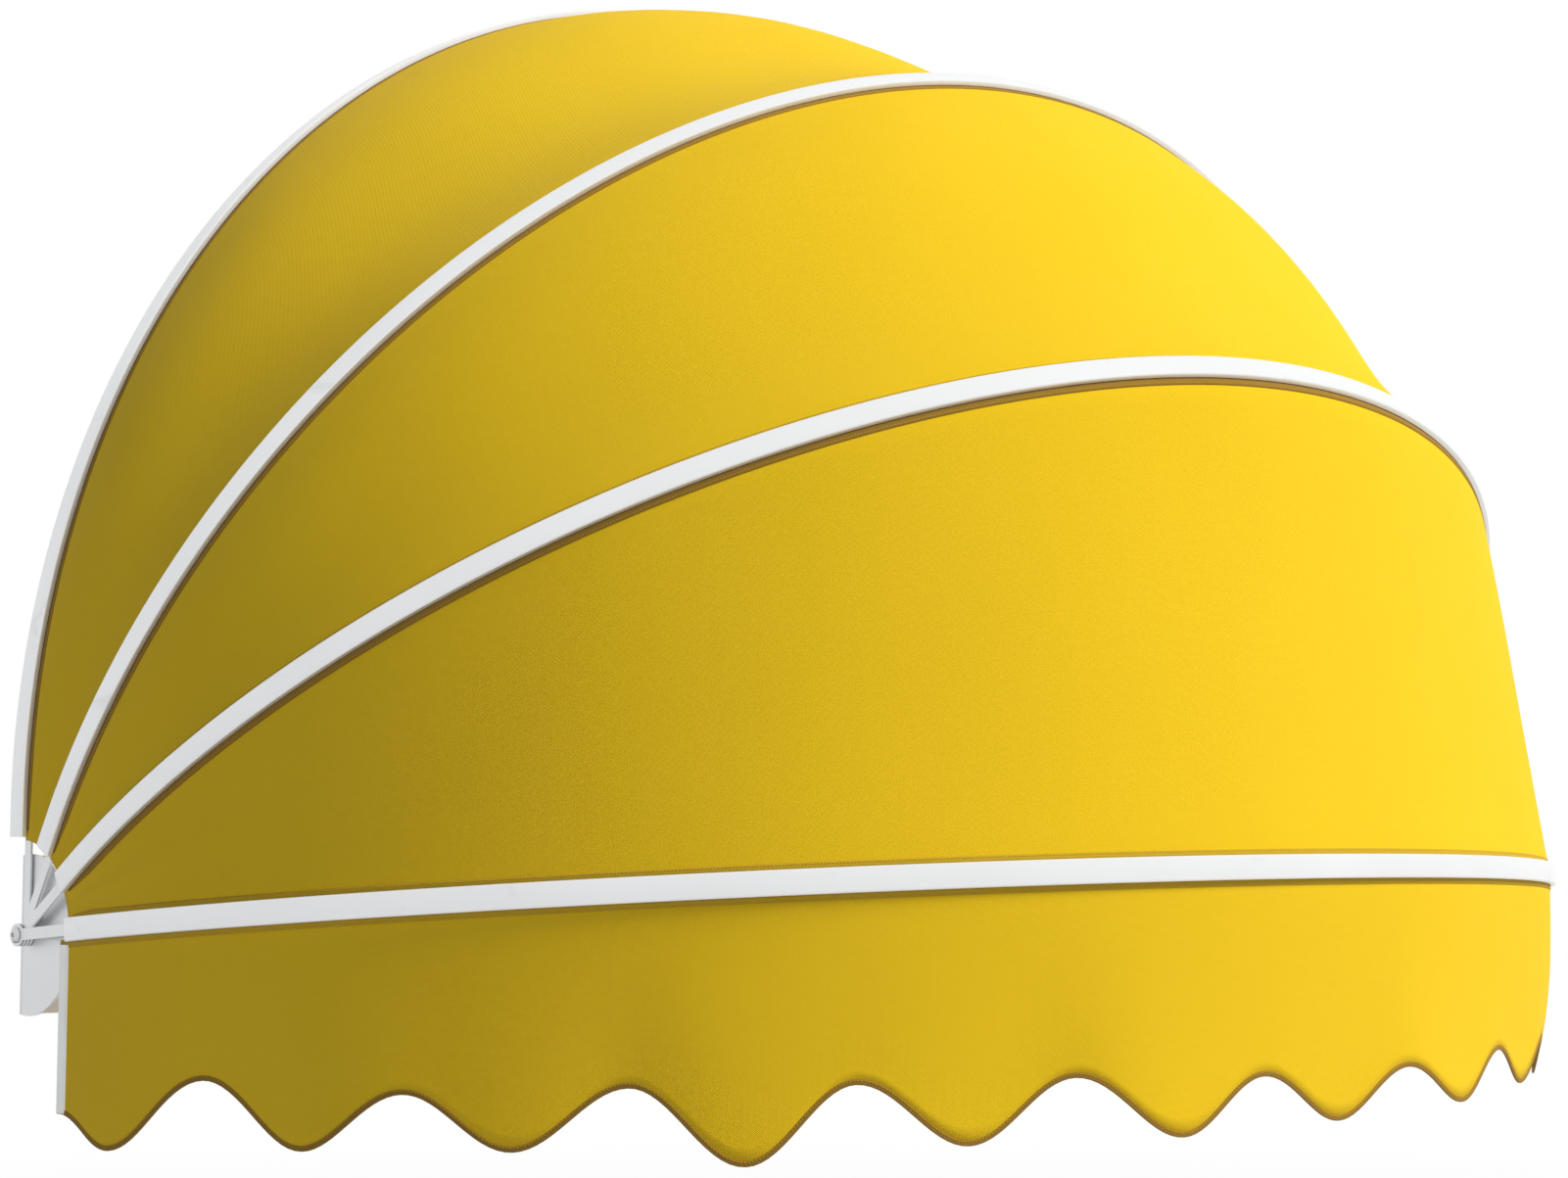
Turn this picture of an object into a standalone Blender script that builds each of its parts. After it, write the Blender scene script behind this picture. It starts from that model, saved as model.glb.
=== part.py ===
"""A folding dome awning for a window or door: four hoops on common side hinges, cloth between them.

Run it in Blender 4.5. Metres, +Z up, +X to the right, +Y into the wall. The origin lies on the wall
plane, behind the crown of the rear bow, where the top clip's back face meets the wall.
"""
import math

import bmesh
import bpy
from mathutils import Matrix, Vector

# Bows: flat aluminium sections bent to a half circle on two short straight legs
BOW_RADIUS = 1.000
BOW_LEG = 0.130
BOW_START = 0.103
BEND_STEPS = 32
BOW_ANGLES = {"rear": 90.0, "upper": 59.0, "middle": 32.5, "front": 4.0}

# How much farther than a round bend each bow reaches at its crown: the rear bow is the deepest
BOW_STRETCH = {"rear": 0.047, "upper": 0.010, "middle": -0.015, "front": -0.085}

# Bow section, seen end on: face is the width that shows, depth runs in towards the room
SECTION_FACE = 0.025
SECTION_DEPTH = 0.020
SECTION_CHAMFER = 0.0015
SECTION_WALL = 0.002
GROOVE_MIDDLE = 0.0080
GROOVE_MOUTH = 0.0036
GROOVE_DEPTH = 0.0040
GROOVE_WALL = 0.0020

# Cloth
CLOTH_THICKNESS = 0.0014
CLOTH_START = 0.099
CLOTH_HEM = 0.0030
CLOTH_LIP = 0.0015
CLOTH_BAYS = 2

# Valance, with the turning points of its edge, tips and notches by turns: (run, drop below the bow)
VALANCE_START = 0.084
VALANCE_END_DROP = 0.186
SCALLOP_TURNS = (
    (0.103, 0.224), (0.252, 0.158), (0.387, 0.229), (0.502, 0.179), (0.621, 0.237),
    (0.735, 0.183), (0.851, 0.260), (0.958, 0.190), (1.072, 0.253), (1.183, 0.195),
    (1.303, 0.258), (1.406, 0.205), (1.516, 0.255), (1.627, 0.206), (1.738, 0.248),
    (1.843, 0.197), (1.930, 0.237), (2.055, 0.190), (2.180, 0.235), (2.310, 0.185),
    (2.440, 0.232), (2.555, 0.182), (2.670, 0.230), (2.780, 0.178), (2.890, 0.227),
    (2.998, 0.160), (3.105, 0.224),
)
SCALLOP_STEPS = 4
BINDING_WIDTH = 0.016
BINDING_THICKNESS = 0.0034

# Hinge stack on each side, listed from the wall bracket outwards
GAP = 0.0003
LINK_THICKNESS = 0.0025
LINK_EYE_RADIUS = 0.012
LINK_SCREW_INSET = 0.013
WASHER_THICKNESS = 0.0007
WASHER_RADIUS = 0.0095
PIVOT_RADIUS = 0.0040
PIVOT_HEAD_RADIUS = 0.0085
PIVOT_HEAD_HEIGHT = 0.0045
NUT_RADIUS = 0.0075
NUT_HEIGHT = 0.0070

# Wall bracket: a flange on the wall and a round cheek that carries the pivot
BRACKET_THICKNESS = 0.003
BRACKET_CHEEK_RADIUS = 0.085
BRACKET_FLANGE_WIDTH = 0.045
BRACKET_HOLE_RADIUS = 0.0035
BRACKET_HOLE_INSET = 0.018

# Wall clips: small angles that hold the rear bow
CLIP_THICKNESS = 0.003
CLIP_WIDTH = 0.034
CLIP_FLANGE = 0.034
CLIP_ANGLES = {"left": -50.0, "top": 0.0, "right": 50.0}
CLIP_HOLE_RADIUS = 0.0030

# Screws that hold the links in the bows and the clips on the rear bow
SCREW_RADIUS = 0.0020
SCREW_HEAD_RADIUS = 0.0040
SCREW_HEAD_HEIGHT = 0.0020
SCREW_TIP = 0.0010

ROUND_STEPS = 16
SCREW_STEPS = 10
DRILL_LENGTH = 0.010
WALL_DRILL_LENGTH = 0.020
MERGE = 0.00001

HINGE_OUT = BRACKET_THICKNESS + GAP + SECTION_FACE / 2
HINGE_DROP = BOW_LEG + BOW_RADIUS + BOW_STRETCH["rear"] - SECTION_DEPTH / 2
AXIS = Vector((0, -HINGE_OUT, -HINGE_DROP))
INTO_WALL = Vector((0, 1, 0))
HALF_FACE = SECTION_FACE / 2
GROOVE_RADIUS = BOW_RADIUS - GROOVE_MIDDLE
INNER_RADIUS = BOW_RADIUS - SECTION_DEPTH
STACK_PITCH = LINK_THICKNESS + WASHER_THICKNESS + 2 * GAP
STACK_ORDER = ("rear", "upper", "middle", "front")
STACK_HEIGHT = LINK_THICKNESS + (len(STACK_ORDER) - 1) * STACK_PITCH
STACK_BASE = INNER_RADIUS + SECTION_WALL + GAP
STACK_SLACK = BOW_RADIUS - SECTION_WALL - GAP - STACK_BASE - STACK_HEIGHT
LEAST_REACH = BOW_RADIUS + min(BOW_STRETCH.values())
LINK_END = BOW_LEG + LEAST_REACH * STACK_SLACK / math.tan(math.pi / BEND_STEPS / 2)
LINK_SCREW_REACH = BOW_START + LINK_SCREW_INSET
CHEEK_OUTER = STACK_BASE - WASHER_THICKNESS - 2 * GAP
CHEEK_INNER = CHEEK_OUTER - BRACKET_THICKNESS
SIDES = {"left": -1, "right": 1}


def material(name, colour, roughness, metallic=0.0):
    """A plain surface of one colour."""
    surface = bpy.data.materials.new(name)
    surface.use_nodes = True
    shader = surface.node_tree.nodes["Principled BSDF"]
    shader.inputs["Base Color"].default_value = (*colour, 1.0)
    shader.inputs["Roughness"].default_value = roughness
    shader.inputs["Metallic"].default_value = metallic
    surface.diffuse_color = (*colour, 1.0)
    return surface


def new_object(name, mesh, surface, group):
    """An object of its own in a collection, with its own copy of the surface."""
    thing = bpy.data.objects.new(name, mesh)
    group.objects.link(thing)
    if surface:
        own = surface.copy()
        own.name = name + "_surface"
        mesh.materials.clear()
        mesh.materials.append(own)
    return thing


def mesh_from(bm, name):
    """Close a bmesh into a mesh with its faces pointing out."""
    bmesh.ops.remove_doubles(bm, verts=bm.verts, dist=MERGE)
    bmesh.ops.recalc_face_normals(bm, faces=bm.faces)
    mesh = bpy.data.meshes.new(name)
    bm.to_mesh(mesh)
    bm.free()
    return mesh


def along(angle):
    """Direction from the hinge axis out along a bow that stands at an angle in degrees."""
    turn = math.radians(angle)
    return Vector((0, -math.cos(turn), math.sin(turn)))


def across(angle):
    """Direction square to that bow's plane, towards the wall side."""
    turn = math.radians(angle)
    return Vector((0, math.sin(turn), math.cos(turn)))


def in_bow(angle, x, reach, offset=0.0):
    """World point of a bow's plane: across the room by x, out by reach, off the plane by offset."""
    return AXIS + Vector((x, 0, 0)) + along(angle) * reach + across(angle) * offset


def path_length(radius, start):
    """Length of a round bow line from leg end to leg end."""
    return math.pi * radius + 2 * (BOW_LEG - start)


def path_point(radius, start, run, stretch):
    """Point (x, reach) after a run from a bow line's left end, on the facets of its stretched bend."""
    leg = BOW_LEG - start
    total = path_length(radius, start)
    if run <= leg:
        return -radius, start + run
    if run >= total - leg:
        return radius, start + total - run
    steps = (run - leg) / radius / math.pi * BEND_STEPS
    whole = min(int(steps), BEND_STEPS - 1)
    first, second = (math.pi * (whole + ahead) / BEND_STEPS for ahead in (0, 1))
    share = steps - whole
    x = math.cos(first) + (math.cos(second) - math.cos(first)) * share
    out = math.sin(first) + (math.sin(second) - math.sin(first)) * share
    return -radius * x, BOW_LEG + (radius + stretch) * out


def bow_runs(radius, start):
    """Runs at both leg ends and at each step of the bend."""
    leg = BOW_LEG - start
    bend = [leg + math.pi * radius * step / BEND_STEPS for step in range(BEND_STEPS + 1)]
    return [0.0, *bend, path_length(radius, start)]


def section_loops():
    """Outer and inner outline of the bow section: (across, depth below the outer face)."""
    half, depth, chamfer = HALF_FACE, SECTION_DEPTH, SECTION_CHAMFER
    groove_top = GROOVE_MIDDLE - GROOVE_MOUTH / 2
    groove_bottom = GROOVE_MIDDLE + GROOVE_MOUTH / 2
    side = [
        (half - chamfer, 0.0),
        (half, chamfer),
        (half, groove_top),
        (half - GROOVE_DEPTH, groove_top),
        (half - GROOVE_DEPTH, groove_bottom),
        (half, groove_bottom),
        (half, depth),
    ]
    outer = side + [(-across_, depth_) for across_, depth_ in reversed(side)]
    inside = half - GROOVE_DEPTH - GROOVE_WALL
    wall = SECTION_WALL
    inner = [(inside, wall), (inside, depth - wall), (-inside, depth - wall), (-inside, wall)]
    return outer, inner


def make_bow(hoop, surface, group):
    """Sweep the section up one leg, round the bend and down the other leg, then stretch the bend."""
    bm = bmesh.new()
    edges = []
    for loop in section_loops():
        ring = [bm.verts.new((depth - BOW_RADIUS, offset, BOW_START)) for offset, depth in loop]
        edges += [bm.edges.new((ring[i - 1], ring[i])) for i in range(len(ring))]
    faces = bmesh.ops.triangle_fill(bm, edges=edges, use_beauty=True)["geom"]
    end = [face for face in faces if isinstance(face, bmesh.types.BMFace)]

    def with_edges(region):
        return region + list(dict.fromkeys(edge for face in region for edge in face.edges))

    def extrude(region, shift):
        grown = bmesh.ops.extrude_face_region(bm, geom=with_edges(region))["geom"]
        corners = [item for item in grown if isinstance(item, bmesh.types.BMVert)]
        bmesh.ops.translate(bm, verts=corners, vec=shift)
        return [item for item in grown if isinstance(item, bmesh.types.BMFace)]

    leg = BOW_LEG - BOW_START
    end = extrude(end, Vector((0, 0, leg)))
    spun = bmesh.ops.spin(
        bm, geom=with_edges(end), cent=(0, 0, BOW_LEG), axis=(0, 1, 0), dvec=(0, 0, 0),
        angle=math.pi, steps=BEND_STEPS, use_merge=False, use_duplicate=False,
    )
    end = [item for item in spun["geom_last"] if isinstance(item, bmesh.types.BMFace)]
    extrude(end, Vector((0, 0, -leg)))
    for corner in bm.verts:
        rise = corner.co.z - BOW_LEG
        if rise > 0:
            corner.co.z += BOW_STRETCH[hoop] * rise / math.hypot(corner.co.x, rise)
    name = hoop + "_bow"
    bow = new_object(name, mesh_from(bm, name), surface, group)
    bow.location = AXIS
    bow.rotation_euler = (math.radians(90.0 - BOW_ANGLES[hoop]), 0, 0)
    return bow


def plate(name, loops, thickness, surface, group):
    """A flat plate in the YZ plane from its outline and holes, from x = 0 to its thickness."""
    curve = bpy.data.curves.new(name, "CURVE")
    curve.dimensions = "2D"
    curve.fill_mode = "BOTH"
    curve.extrude = thickness / 2
    for loop in loops:
        spline = curve.splines.new("POLY")
        spline.points.add(len(loop) - 1)
        for point, (y, z) in zip(spline.points, loop):
            point.co = (y, z, 0, 1)
        spline.use_cyclic_u = True
    drawn = bpy.data.objects.new(name, curve)
    group.objects.link(drawn)
    bpy.context.view_layer.update()
    mesh = bpy.data.meshes.new_from_object(drawn.evaluated_get(bpy.context.evaluated_depsgraph_get()))
    bpy.data.objects.remove(drawn)
    bm = bmesh.new()
    bm.from_mesh(mesh)
    bm.transform(Matrix(((0, 0, 1, thickness / 2), (1, 0, 0, 0), (0, 1, 0, 0), (0, 0, 0, 1))))
    bpy.data.meshes.remove(mesh)
    return new_object(name, mesh_from(bm, name), surface, group)


def arc(centre, radius, first, last, steps):
    """Points of an arc in the YZ plane; angles in degrees from +Y towards +Z."""
    points = []
    for step in range(steps + 1):
        turn = math.radians(first + (last - first) * step / steps)
        points.append((centre[0] + radius * math.cos(turn), centre[1] + radius * math.sin(turn)))
    return points


def circle(centre, radius, steps=ROUND_STEPS):
    """Closed round outline in the YZ plane."""
    return arc(centre, radius, 0, 360, steps)[:-1]


def turned(name, profile, surface, group, steps=ROUND_STEPS):
    """A turned piece about X from its (radius, x) profile, which runs from axis to axis."""
    bm = bmesh.new()
    corners = [bm.verts.new((radius, 0, x)) for radius, x in profile]
    for first, second in zip(corners, corners[1:]):
        bm.edges.new((first, second))
    mesh = bpy.data.meshes.new(name)
    bm.to_mesh(mesh)
    bm.free()
    piece = new_object(name, mesh, surface, group)
    screw = piece.modifiers.new("turn", "SCREW")
    screw.steps = steps
    screw.render_steps = steps
    screw.use_merge_vertices = True
    screw.merge_threshold = MERGE
    piece.rotation_euler = (0, math.radians(90), 0)
    return piece


def cut(piece, tool):
    """Cut one solid out of another."""
    step = piece.modifiers.new("cut", "BOOLEAN")
    step.operation = "DIFFERENCE"
    step.solver = "EXACT"
    step.object = tool


def drill(name, centre, direction, radius, cutters, length=DRILL_LENGTH):
    """A round cutter centred on a point."""
    bm = bmesh.new()
    bmesh.ops.create_cone(
        bm, cap_ends=True, segments=SCREW_STEPS, radius1=radius, radius2=radius, depth=length
    )
    tool = new_object(name, mesh_from(bm, name), None, cutters)
    tool.location = centre
    tool.rotation_euler = direction.to_track_quat("Z", "Y").to_euler()
    tool.hide_render = True
    tool.display_type = "WIRE"
    return tool


def sheet_object(name, bm, thickness, surface, group):
    """Give an open surface its thickness, half to each side."""
    bmesh.ops.recalc_face_normals(bm, faces=bm.faces)
    mesh = bpy.data.meshes.new(name)
    bm.to_mesh(mesh)
    bm.free()
    piece = new_object(name, mesh, surface, group)
    wall = piece.modifiers.new("thickness", "SOLIDIFY")
    wall.thickness = thickness
    wall.offset = 0.0
    wall.use_even_offset = True
    return piece


def grid(rows):
    """Open surface through rows of points."""
    bm = bmesh.new()
    corners = [[bm.verts.new(point) for point in row] for row in rows]
    for low, high in zip(corners, corners[1:]):
        for i in range(len(low) - 1):
            bm.faces.new((low[i], low[i + 1], high[i + 1], high[i]))
    return bm


def make_panel(name, lower, upper, surface, group):
    """Cloth between two bows: hems in their grooves and straight lines from bow to bow."""
    low, high = BOW_ANGLES[lower], BOW_ANGLES[upper]
    hem, lip = HALF_FACE - CLOTH_HEM, HALF_FACE + CLOTH_LIP
    runs = bow_runs(GROOVE_RADIUS, CLOTH_START)
    rows = []
    for index, run in enumerate(runs):
        x, low_reach = path_point(GROOVE_RADIUS, CLOTH_START, run, BOW_STRETCH[lower])
        high_reach = path_point(GROOVE_RADIUS, CLOTH_START, run, BOW_STRETCH[upper])[1]
        first, last = in_bow(low, x, low_reach, lip), in_bow(high, x, high_reach, -lip)
        between = [first.lerp(last, bay / CLOTH_BAYS) for bay in range(1, CLOTH_BAYS)]
        if index in (0, len(runs) - 1):
            between = [on_cut_out(point, first) for point in between]
        hems = in_bow(low, x, low_reach, hem), in_bow(high, x, high_reach, -hem)
        rows.append([hems[0], first, *between, last, hems[1]])
    return sheet_object(name, grid(rows), CLOTH_THICKNESS, surface, group)


def on_cut_out(point, rim):
    """Push a point out from the hinge axis to the round cut-out that passes through rim."""
    radius = (rim - AXIS).yz.length
    spoke = (point - AXIS).yz
    spoke = spoke * (radius / spoke.length)
    return Vector((point.x, AXIS.y + spoke.x, AXIS.z + spoke.y))


def valance_columns():
    """Runs along the valance and the drop of its scalloped edge at each."""
    end = (path_length(GROOVE_RADIUS, VALANCE_START), VALANCE_END_DROP)
    turns = [(0.0, VALANCE_END_DROP), *SCALLOP_TURNS, end]
    columns = []
    for (run, drop), (next_run, next_drop) in zip(turns, turns[1:]):
        for step in range(SCALLOP_STEPS):
            share = step / SCALLOP_STEPS
            eased = (1 - math.cos(math.pi * share)) / 2
            columns.append((run + (next_run - run) * share, drop + (next_drop - drop) * eased))
    return [*columns, end]


def valance_column(run, drop, heights):
    """Points down the valance at one run: the hem in the groove, then straight down."""
    angle = BOW_ANGLES["front"]
    x, reach = path_point(GROOVE_RADIUS, VALANCE_START, run, BOW_STRETCH["front"])
    hem = in_bow(angle, x, reach, CLOTH_HEM - HALF_FACE)
    lip = in_bow(angle, x, reach, -HALF_FACE - CLOTH_LIP)
    centre = in_bow(angle, x, reach)
    bottom = Vector((lip.x, lip.y, centre.z - drop))
    return [hem, *(lip.lerp(bottom, height) for height in heights)]


def make_valance(surface, group):
    """Scalloped cloth that hangs from the front bow's lower groove."""
    rows = [valance_column(run, drop, (0.0, 0.5, 1.0)) for run, drop in valance_columns()]
    return sheet_object("valance", grid(rows), CLOTH_THICKNESS, surface, group)


def make_binding(side, surface, group):
    """Tape folded over the upright edge of the valance, open towards the cloth."""
    drop = valance_columns()[0][1]
    angle = BOW_ANGLES["front"]
    lip = in_bow(angle, SIDES[side] * GROOVE_RADIUS, VALANCE_START, -HALF_FACE - CLOTH_LIP)
    bottom = in_bow(angle, 0, VALANCE_START).z - drop
    top = lip.z - GAP
    slot = CLOTH_THICKNESS / 2 + GAP
    half = BINDING_THICKNESS / 2
    back = BINDING_THICKNESS / 2 - slot
    outline = [
        (-half, GAP + back), (half, GAP + back), (half, -BINDING_WIDTH), (slot, -BINDING_WIDTH),
        (slot, GAP), (-slot, GAP), (-slot, -BINDING_WIDTH), (-half, -BINDING_WIDTH),
    ]
    bm = bmesh.new()
    face = bm.faces.new([bm.verts.new((lip.x + x, lip.y + y, bottom)) for x, y in outline])
    grown = bmesh.ops.extrude_face_region(bm, geom=[face])["geom"]
    corners = [item for item in grown if isinstance(item, bmesh.types.BMVert)]
    bmesh.ops.translate(bm, verts=corners, vec=(0, 0, top - bottom))
    return new_object("valance_binding_" + side, mesh_from(bm, "valance_binding_" + side), surface, group)


def mirrored_x(side, inner, thickness):
    """Low x of a plate that lies from inner outwards on the given side."""
    return inner if side == "right" else -inner - thickness


def make_link(name, side, surface, group):
    """A flat bar with a round eye: the bow end that turns on the pivot."""
    half = HALF_FACE - GROOVE_DEPTH - GROOVE_WALL - GAP
    root = math.degrees(math.asin(half / LINK_EYE_RADIUS))
    eye = arc((0, 0), LINK_EYE_RADIUS, 90 + root, 450 - root, ROUND_STEPS)
    outline = [*eye, (half, LINK_END), (-half, LINK_END)]
    pin_hole = circle((0, 0), PIVOT_RADIUS + GAP)
    screw_hole = circle((0, LINK_SCREW_REACH), SCREW_RADIUS + GAP, SCREW_STEPS)
    link = plate(f"{name}_link_{side}", [outline, pin_hole, screw_hole], LINK_THICKNESS, surface, group)
    inner = STACK_BASE + STACK_ORDER.index(name) * STACK_PITCH
    link.location = AXIS + Vector((mirrored_x(side, inner, LINK_THICKNESS), 0, 0))
    link.rotation_euler = (math.radians(90.0 - BOW_ANGLES[name]), 0, 0)
    return link


def make_washer(index, side, surface, group):
    """A thin washer between two neighbours of the hinge stack."""
    loops = [circle((0, 0), WASHER_RADIUS), circle((0, 0), PIVOT_RADIUS + GAP)]
    washer = plate(f"hinge_washer_{index + 1}_{side}", loops, WASHER_THICKNESS, surface, group)
    inner = STACK_BASE + index * STACK_PITCH - GAP - WASHER_THICKNESS
    washer.location = AXIS + Vector((mirrored_x(side, inner, WASHER_THICKNESS), 0, 0))
    return washer


def make_pivot(side, surface, group):
    """The pivot bolt: a domed head outside the stack and a shank through to the nut."""
    seat = STACK_BASE + STACK_HEIGHT + GAP
    dome = [
        (PIVOT_HEAD_RADIUS * math.cos(math.radians(turn)), seat + PIVOT_HEAD_HEIGHT * math.sin(math.radians(turn)))
        for turn in (0, 30, 60)
    ]
    tip = CHEEK_INNER - GAP - NUT_HEIGHT - PIVOT_RADIUS / 2
    profile = [(0, seat + PIVOT_HEAD_HEIGHT), *reversed(dome), (PIVOT_RADIUS, seat), (PIVOT_RADIUS, tip), (0, tip)]
    bolt = turned("pivot_bolt_" + side, profile, surface, group)
    bolt.location = AXIS
    bolt.rotation_euler = (0, math.radians(90 * SIDES[side]), 0)
    return bolt


def make_nut(side, surface, group):
    """A hexagon nut inside the wall bracket."""
    hexagon = arc((0, 0), NUT_RADIUS, 0, 360, 6)[:-1]
    loops = [hexagon, circle((0, 0), PIVOT_RADIUS + GAP)]
    nut = plate("pivot_nut_" + side, loops, NUT_HEIGHT, surface, group)
    inner = CHEEK_INNER - GAP - NUT_HEIGHT
    nut.location = AXIS + Vector((mirrored_x(side, inner, NUT_HEIGHT), 0, 0))
    return nut


def make_bracket(side, surface, group, cutters):
    """Bent plate: a round cheek for the pivot and a flange that is screwed to the wall."""
    lean = math.degrees(math.asin(HINGE_OUT / BRACKET_CHEEK_RADIUS))
    cheek = arc((0, 0), BRACKET_CHEEK_RADIUS, 90 - lean, 270 + lean, ROUND_STEPS)
    name = "wall_bracket_" + side
    loops = [cheek, circle((0, 0), PIVOT_RADIUS + GAP)]
    bracket = plate(name, loops, BRACKET_THICKNESS, surface, group)
    bracket.location = AXIS + Vector((mirrored_x(side, CHEEK_INNER, BRACKET_THICKNESS), 0, 0))
    half = BRACKET_CHEEK_RADIUS * math.cos(math.radians(lean))
    width = BRACKET_FLANGE_WIDTH
    bm = bmesh.new()
    bmesh.ops.create_cube(bm, size=1.0)
    bmesh.ops.scale(bm, verts=bm.verts, vec=(width, BRACKET_THICKNESS, 2 * half))
    flange = new_object(name + "_flange", mesh_from(bm, name + "_flange"), None, cutters)
    middle = CHEEK_OUTER - width / 2
    flange.location = (SIDES[side] * middle, -BRACKET_THICKNESS / 2, AXIS.z)
    flange.hide_render = True
    flange.display_type = "WIRE"
    join = bracket.modifiers.new("flange", "BOOLEAN")
    join.operation = "UNION"
    join.solver = "EXACT"
    join.object = flange
    hole_x = SIDES[side] * (CHEEK_OUTER - width + BRACKET_HOLE_INSET)
    for number, level in enumerate((-1, 1)):
        centre = Vector((hole_x, -BRACKET_THICKNESS / 2, AXIS.z + level * (half - BRACKET_HOLE_INSET)))
        hole = f"{name}_hole_{number}"
        cut(bracket, drill(hole, centre, INTO_WALL, BRACKET_HOLE_RADIUS, cutters, WALL_DRILL_LENGTH))
    return bracket


def rim_frame(turn):
    """Frame of the rear bow at a turn from its crown: x along the bow, z out, its face at BOW_RADIUS."""
    across_, up = math.sin(math.radians(turn)), math.cos(math.radians(turn))
    reach = BOW_RADIUS + BOW_STRETCH["rear"]
    face = AXIS + Vector((BOW_RADIUS * across_, 0, BOW_LEG + reach * up))
    lean = math.atan2(reach * across_, BOW_RADIUS * up)
    rise = Matrix.Translation((0, 0, -BOW_RADIUS))
    return Matrix.Translation(face) @ Matrix.Rotation(lean, 4, "Y") @ rise


def make_clip(place, surface, group, cutters):
    """Small angle: flange on the wall behind the rear bow, shelf under it. Returns the bow's drill."""
    turn = CLIP_ANGLES[place]
    facet = math.cos(math.pi / BEND_STEPS / 2)
    shelf_top = INNER_RADIUS * facet - GAP - CLIP_WIDTH ** 2 / (8 * INNER_RADIUS)
    shelf_low = shelf_top - CLIP_THICKNESS
    back = HINGE_OUT
    front = -HALF_FACE + SECTION_CHAMFER
    outline = [
        (back, shelf_low - CLIP_FLANGE), (back, BOW_RADIUS - SECTION_CHAMFER - GAP),
        (back - CLIP_THICKNESS, BOW_RADIUS - SECTION_CHAMFER - GAP), (back - CLIP_THICKNESS, shelf_top),
        (front, shelf_top), (front, shelf_low), (back - CLIP_THICKNESS, shelf_low),
        (back - CLIP_THICKNESS, shelf_low - CLIP_FLANGE),
    ]
    name = "wall_clip_" + place
    clip = plate(name, [outline], CLIP_WIDTH, surface, group)
    frame = rim_frame(turn)
    clip.matrix_world = frame @ Matrix.Translation((-CLIP_WIDTH / 2, 0, 0))
    wall_hole = frame @ Vector((0, back, shelf_low - CLIP_FLANGE / 2))
    bow_hole = frame @ Vector((0, 0, shelf_low))
    thread = frame @ Vector((0, 0, INNER_RADIUS))
    out = frame.to_3x3() @ Vector((0, 0, 1))
    cut(clip, drill(name + "_wall_hole", wall_hole, INTO_WALL, CLIP_HOLE_RADIUS, cutters, WALL_DRILL_LENGTH))
    cut(clip, drill(name + "_bow_hole", bow_hole, out, SCREW_RADIUS + GAP, cutters))
    screw_tip = INNER_RADIUS + SECTION_WALL + SCREW_TIP
    screw = make_screw("clip_screw_" + place, shelf_low - GAP, screw_tip, surface, group)
    screw.matrix_world = frame
    return drill(name + "_thread", thread, out, SCREW_RADIUS + GAP, cutters)


def make_screw(name, seat, tip, surface, group):
    """Pan head screw along Z with its head below seat and its shank up to tip."""
    low = seat - SCREW_HEAD_HEIGHT
    profile = [
        (0, tip), (SCREW_RADIUS, tip), (SCREW_RADIUS, seat), (SCREW_HEAD_RADIUS, seat),
        (SCREW_HEAD_RADIUS, seat - SCREW_HEAD_HEIGHT / 2), (SCREW_HEAD_RADIUS / 2, low), (0, low),
    ]
    return turned(name, profile, surface, group, SCREW_STEPS)


def make_link_screw(name, side, surface, group, cutters):
    """Screw from inside the hood through the bow's inner wall into its link."""
    inner = STACK_BASE + STACK_ORDER.index(name) * STACK_PITCH
    tip = inner + LINK_THICKNESS + GAP
    screw = make_screw(f"{name}_link_screw_{side}", INNER_RADIUS - GAP, tip, surface, group)
    angle = BOW_ANGLES[name]
    place = in_bow(angle, 0, LINK_SCREW_REACH)
    screw.location = place
    screw.rotation_euler = (0, math.radians(90 * SIDES[side]), 0)
    hole = place + Vector((SIDES[side] * INNER_RADIUS, 0, 0))
    return drill(f"{name}_screw_hole_{side}", hole, Vector((1, 0, 0)), SCREW_RADIUS + GAP, cutters)


def collections():
    """The awning's collection and one for the shapes that only cut or join."""
    awning = bpy.data.collections.new("dome_awning")
    cutters = bpy.data.collections.new("cutters")
    for group in (awning, cutters):
        bpy.context.scene.collection.children.link(group)
    return awning, cutters


def main():
    for thing in list(bpy.data.objects):
        bpy.data.objects.remove(thing, do_unlink=True)
    awning, cutters = collections()
    coated = material("white_coated_aluminium", (0.86, 0.87, 0.89), 0.35)
    steel = material("zinc_plated_steel", (0.62, 0.63, 0.65), 0.3, 1.0)
    nylon = material("nylon", (0.82, 0.82, 0.80), 0.5)
    cloth = material("yellow_awning_cloth", (0.85, 0.60, 0.05), 0.85)
    tape = material("white_edge_tape", (0.80, 0.81, 0.80), 0.8)
    bows = {name: make_bow(name, coated, awning) for name in BOW_ANGLES}
    for side in SIDES:
        make_bracket(side, coated, awning, cutters)
        make_pivot(side, steel, awning)
        make_nut(side, steel, awning)
        for index, name in enumerate(STACK_ORDER):
            make_link(name, side, steel, awning)
            make_washer(index, side, nylon, awning)
            cut(bows[name], make_link_screw(name, side, steel, awning, cutters))
        make_binding(side, tape, awning)
    for place in CLIP_ANGLES:
        cut(bows["rear"], make_clip(place, coated, awning, cutters))
    make_panel("rear_cloth", "upper", "rear", cloth, awning)
    make_panel("middle_cloth", "middle", "upper", cloth, awning)
    make_panel("front_cloth", "front", "middle", cloth, awning)
    make_valance(cloth, awning)


main()
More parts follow.
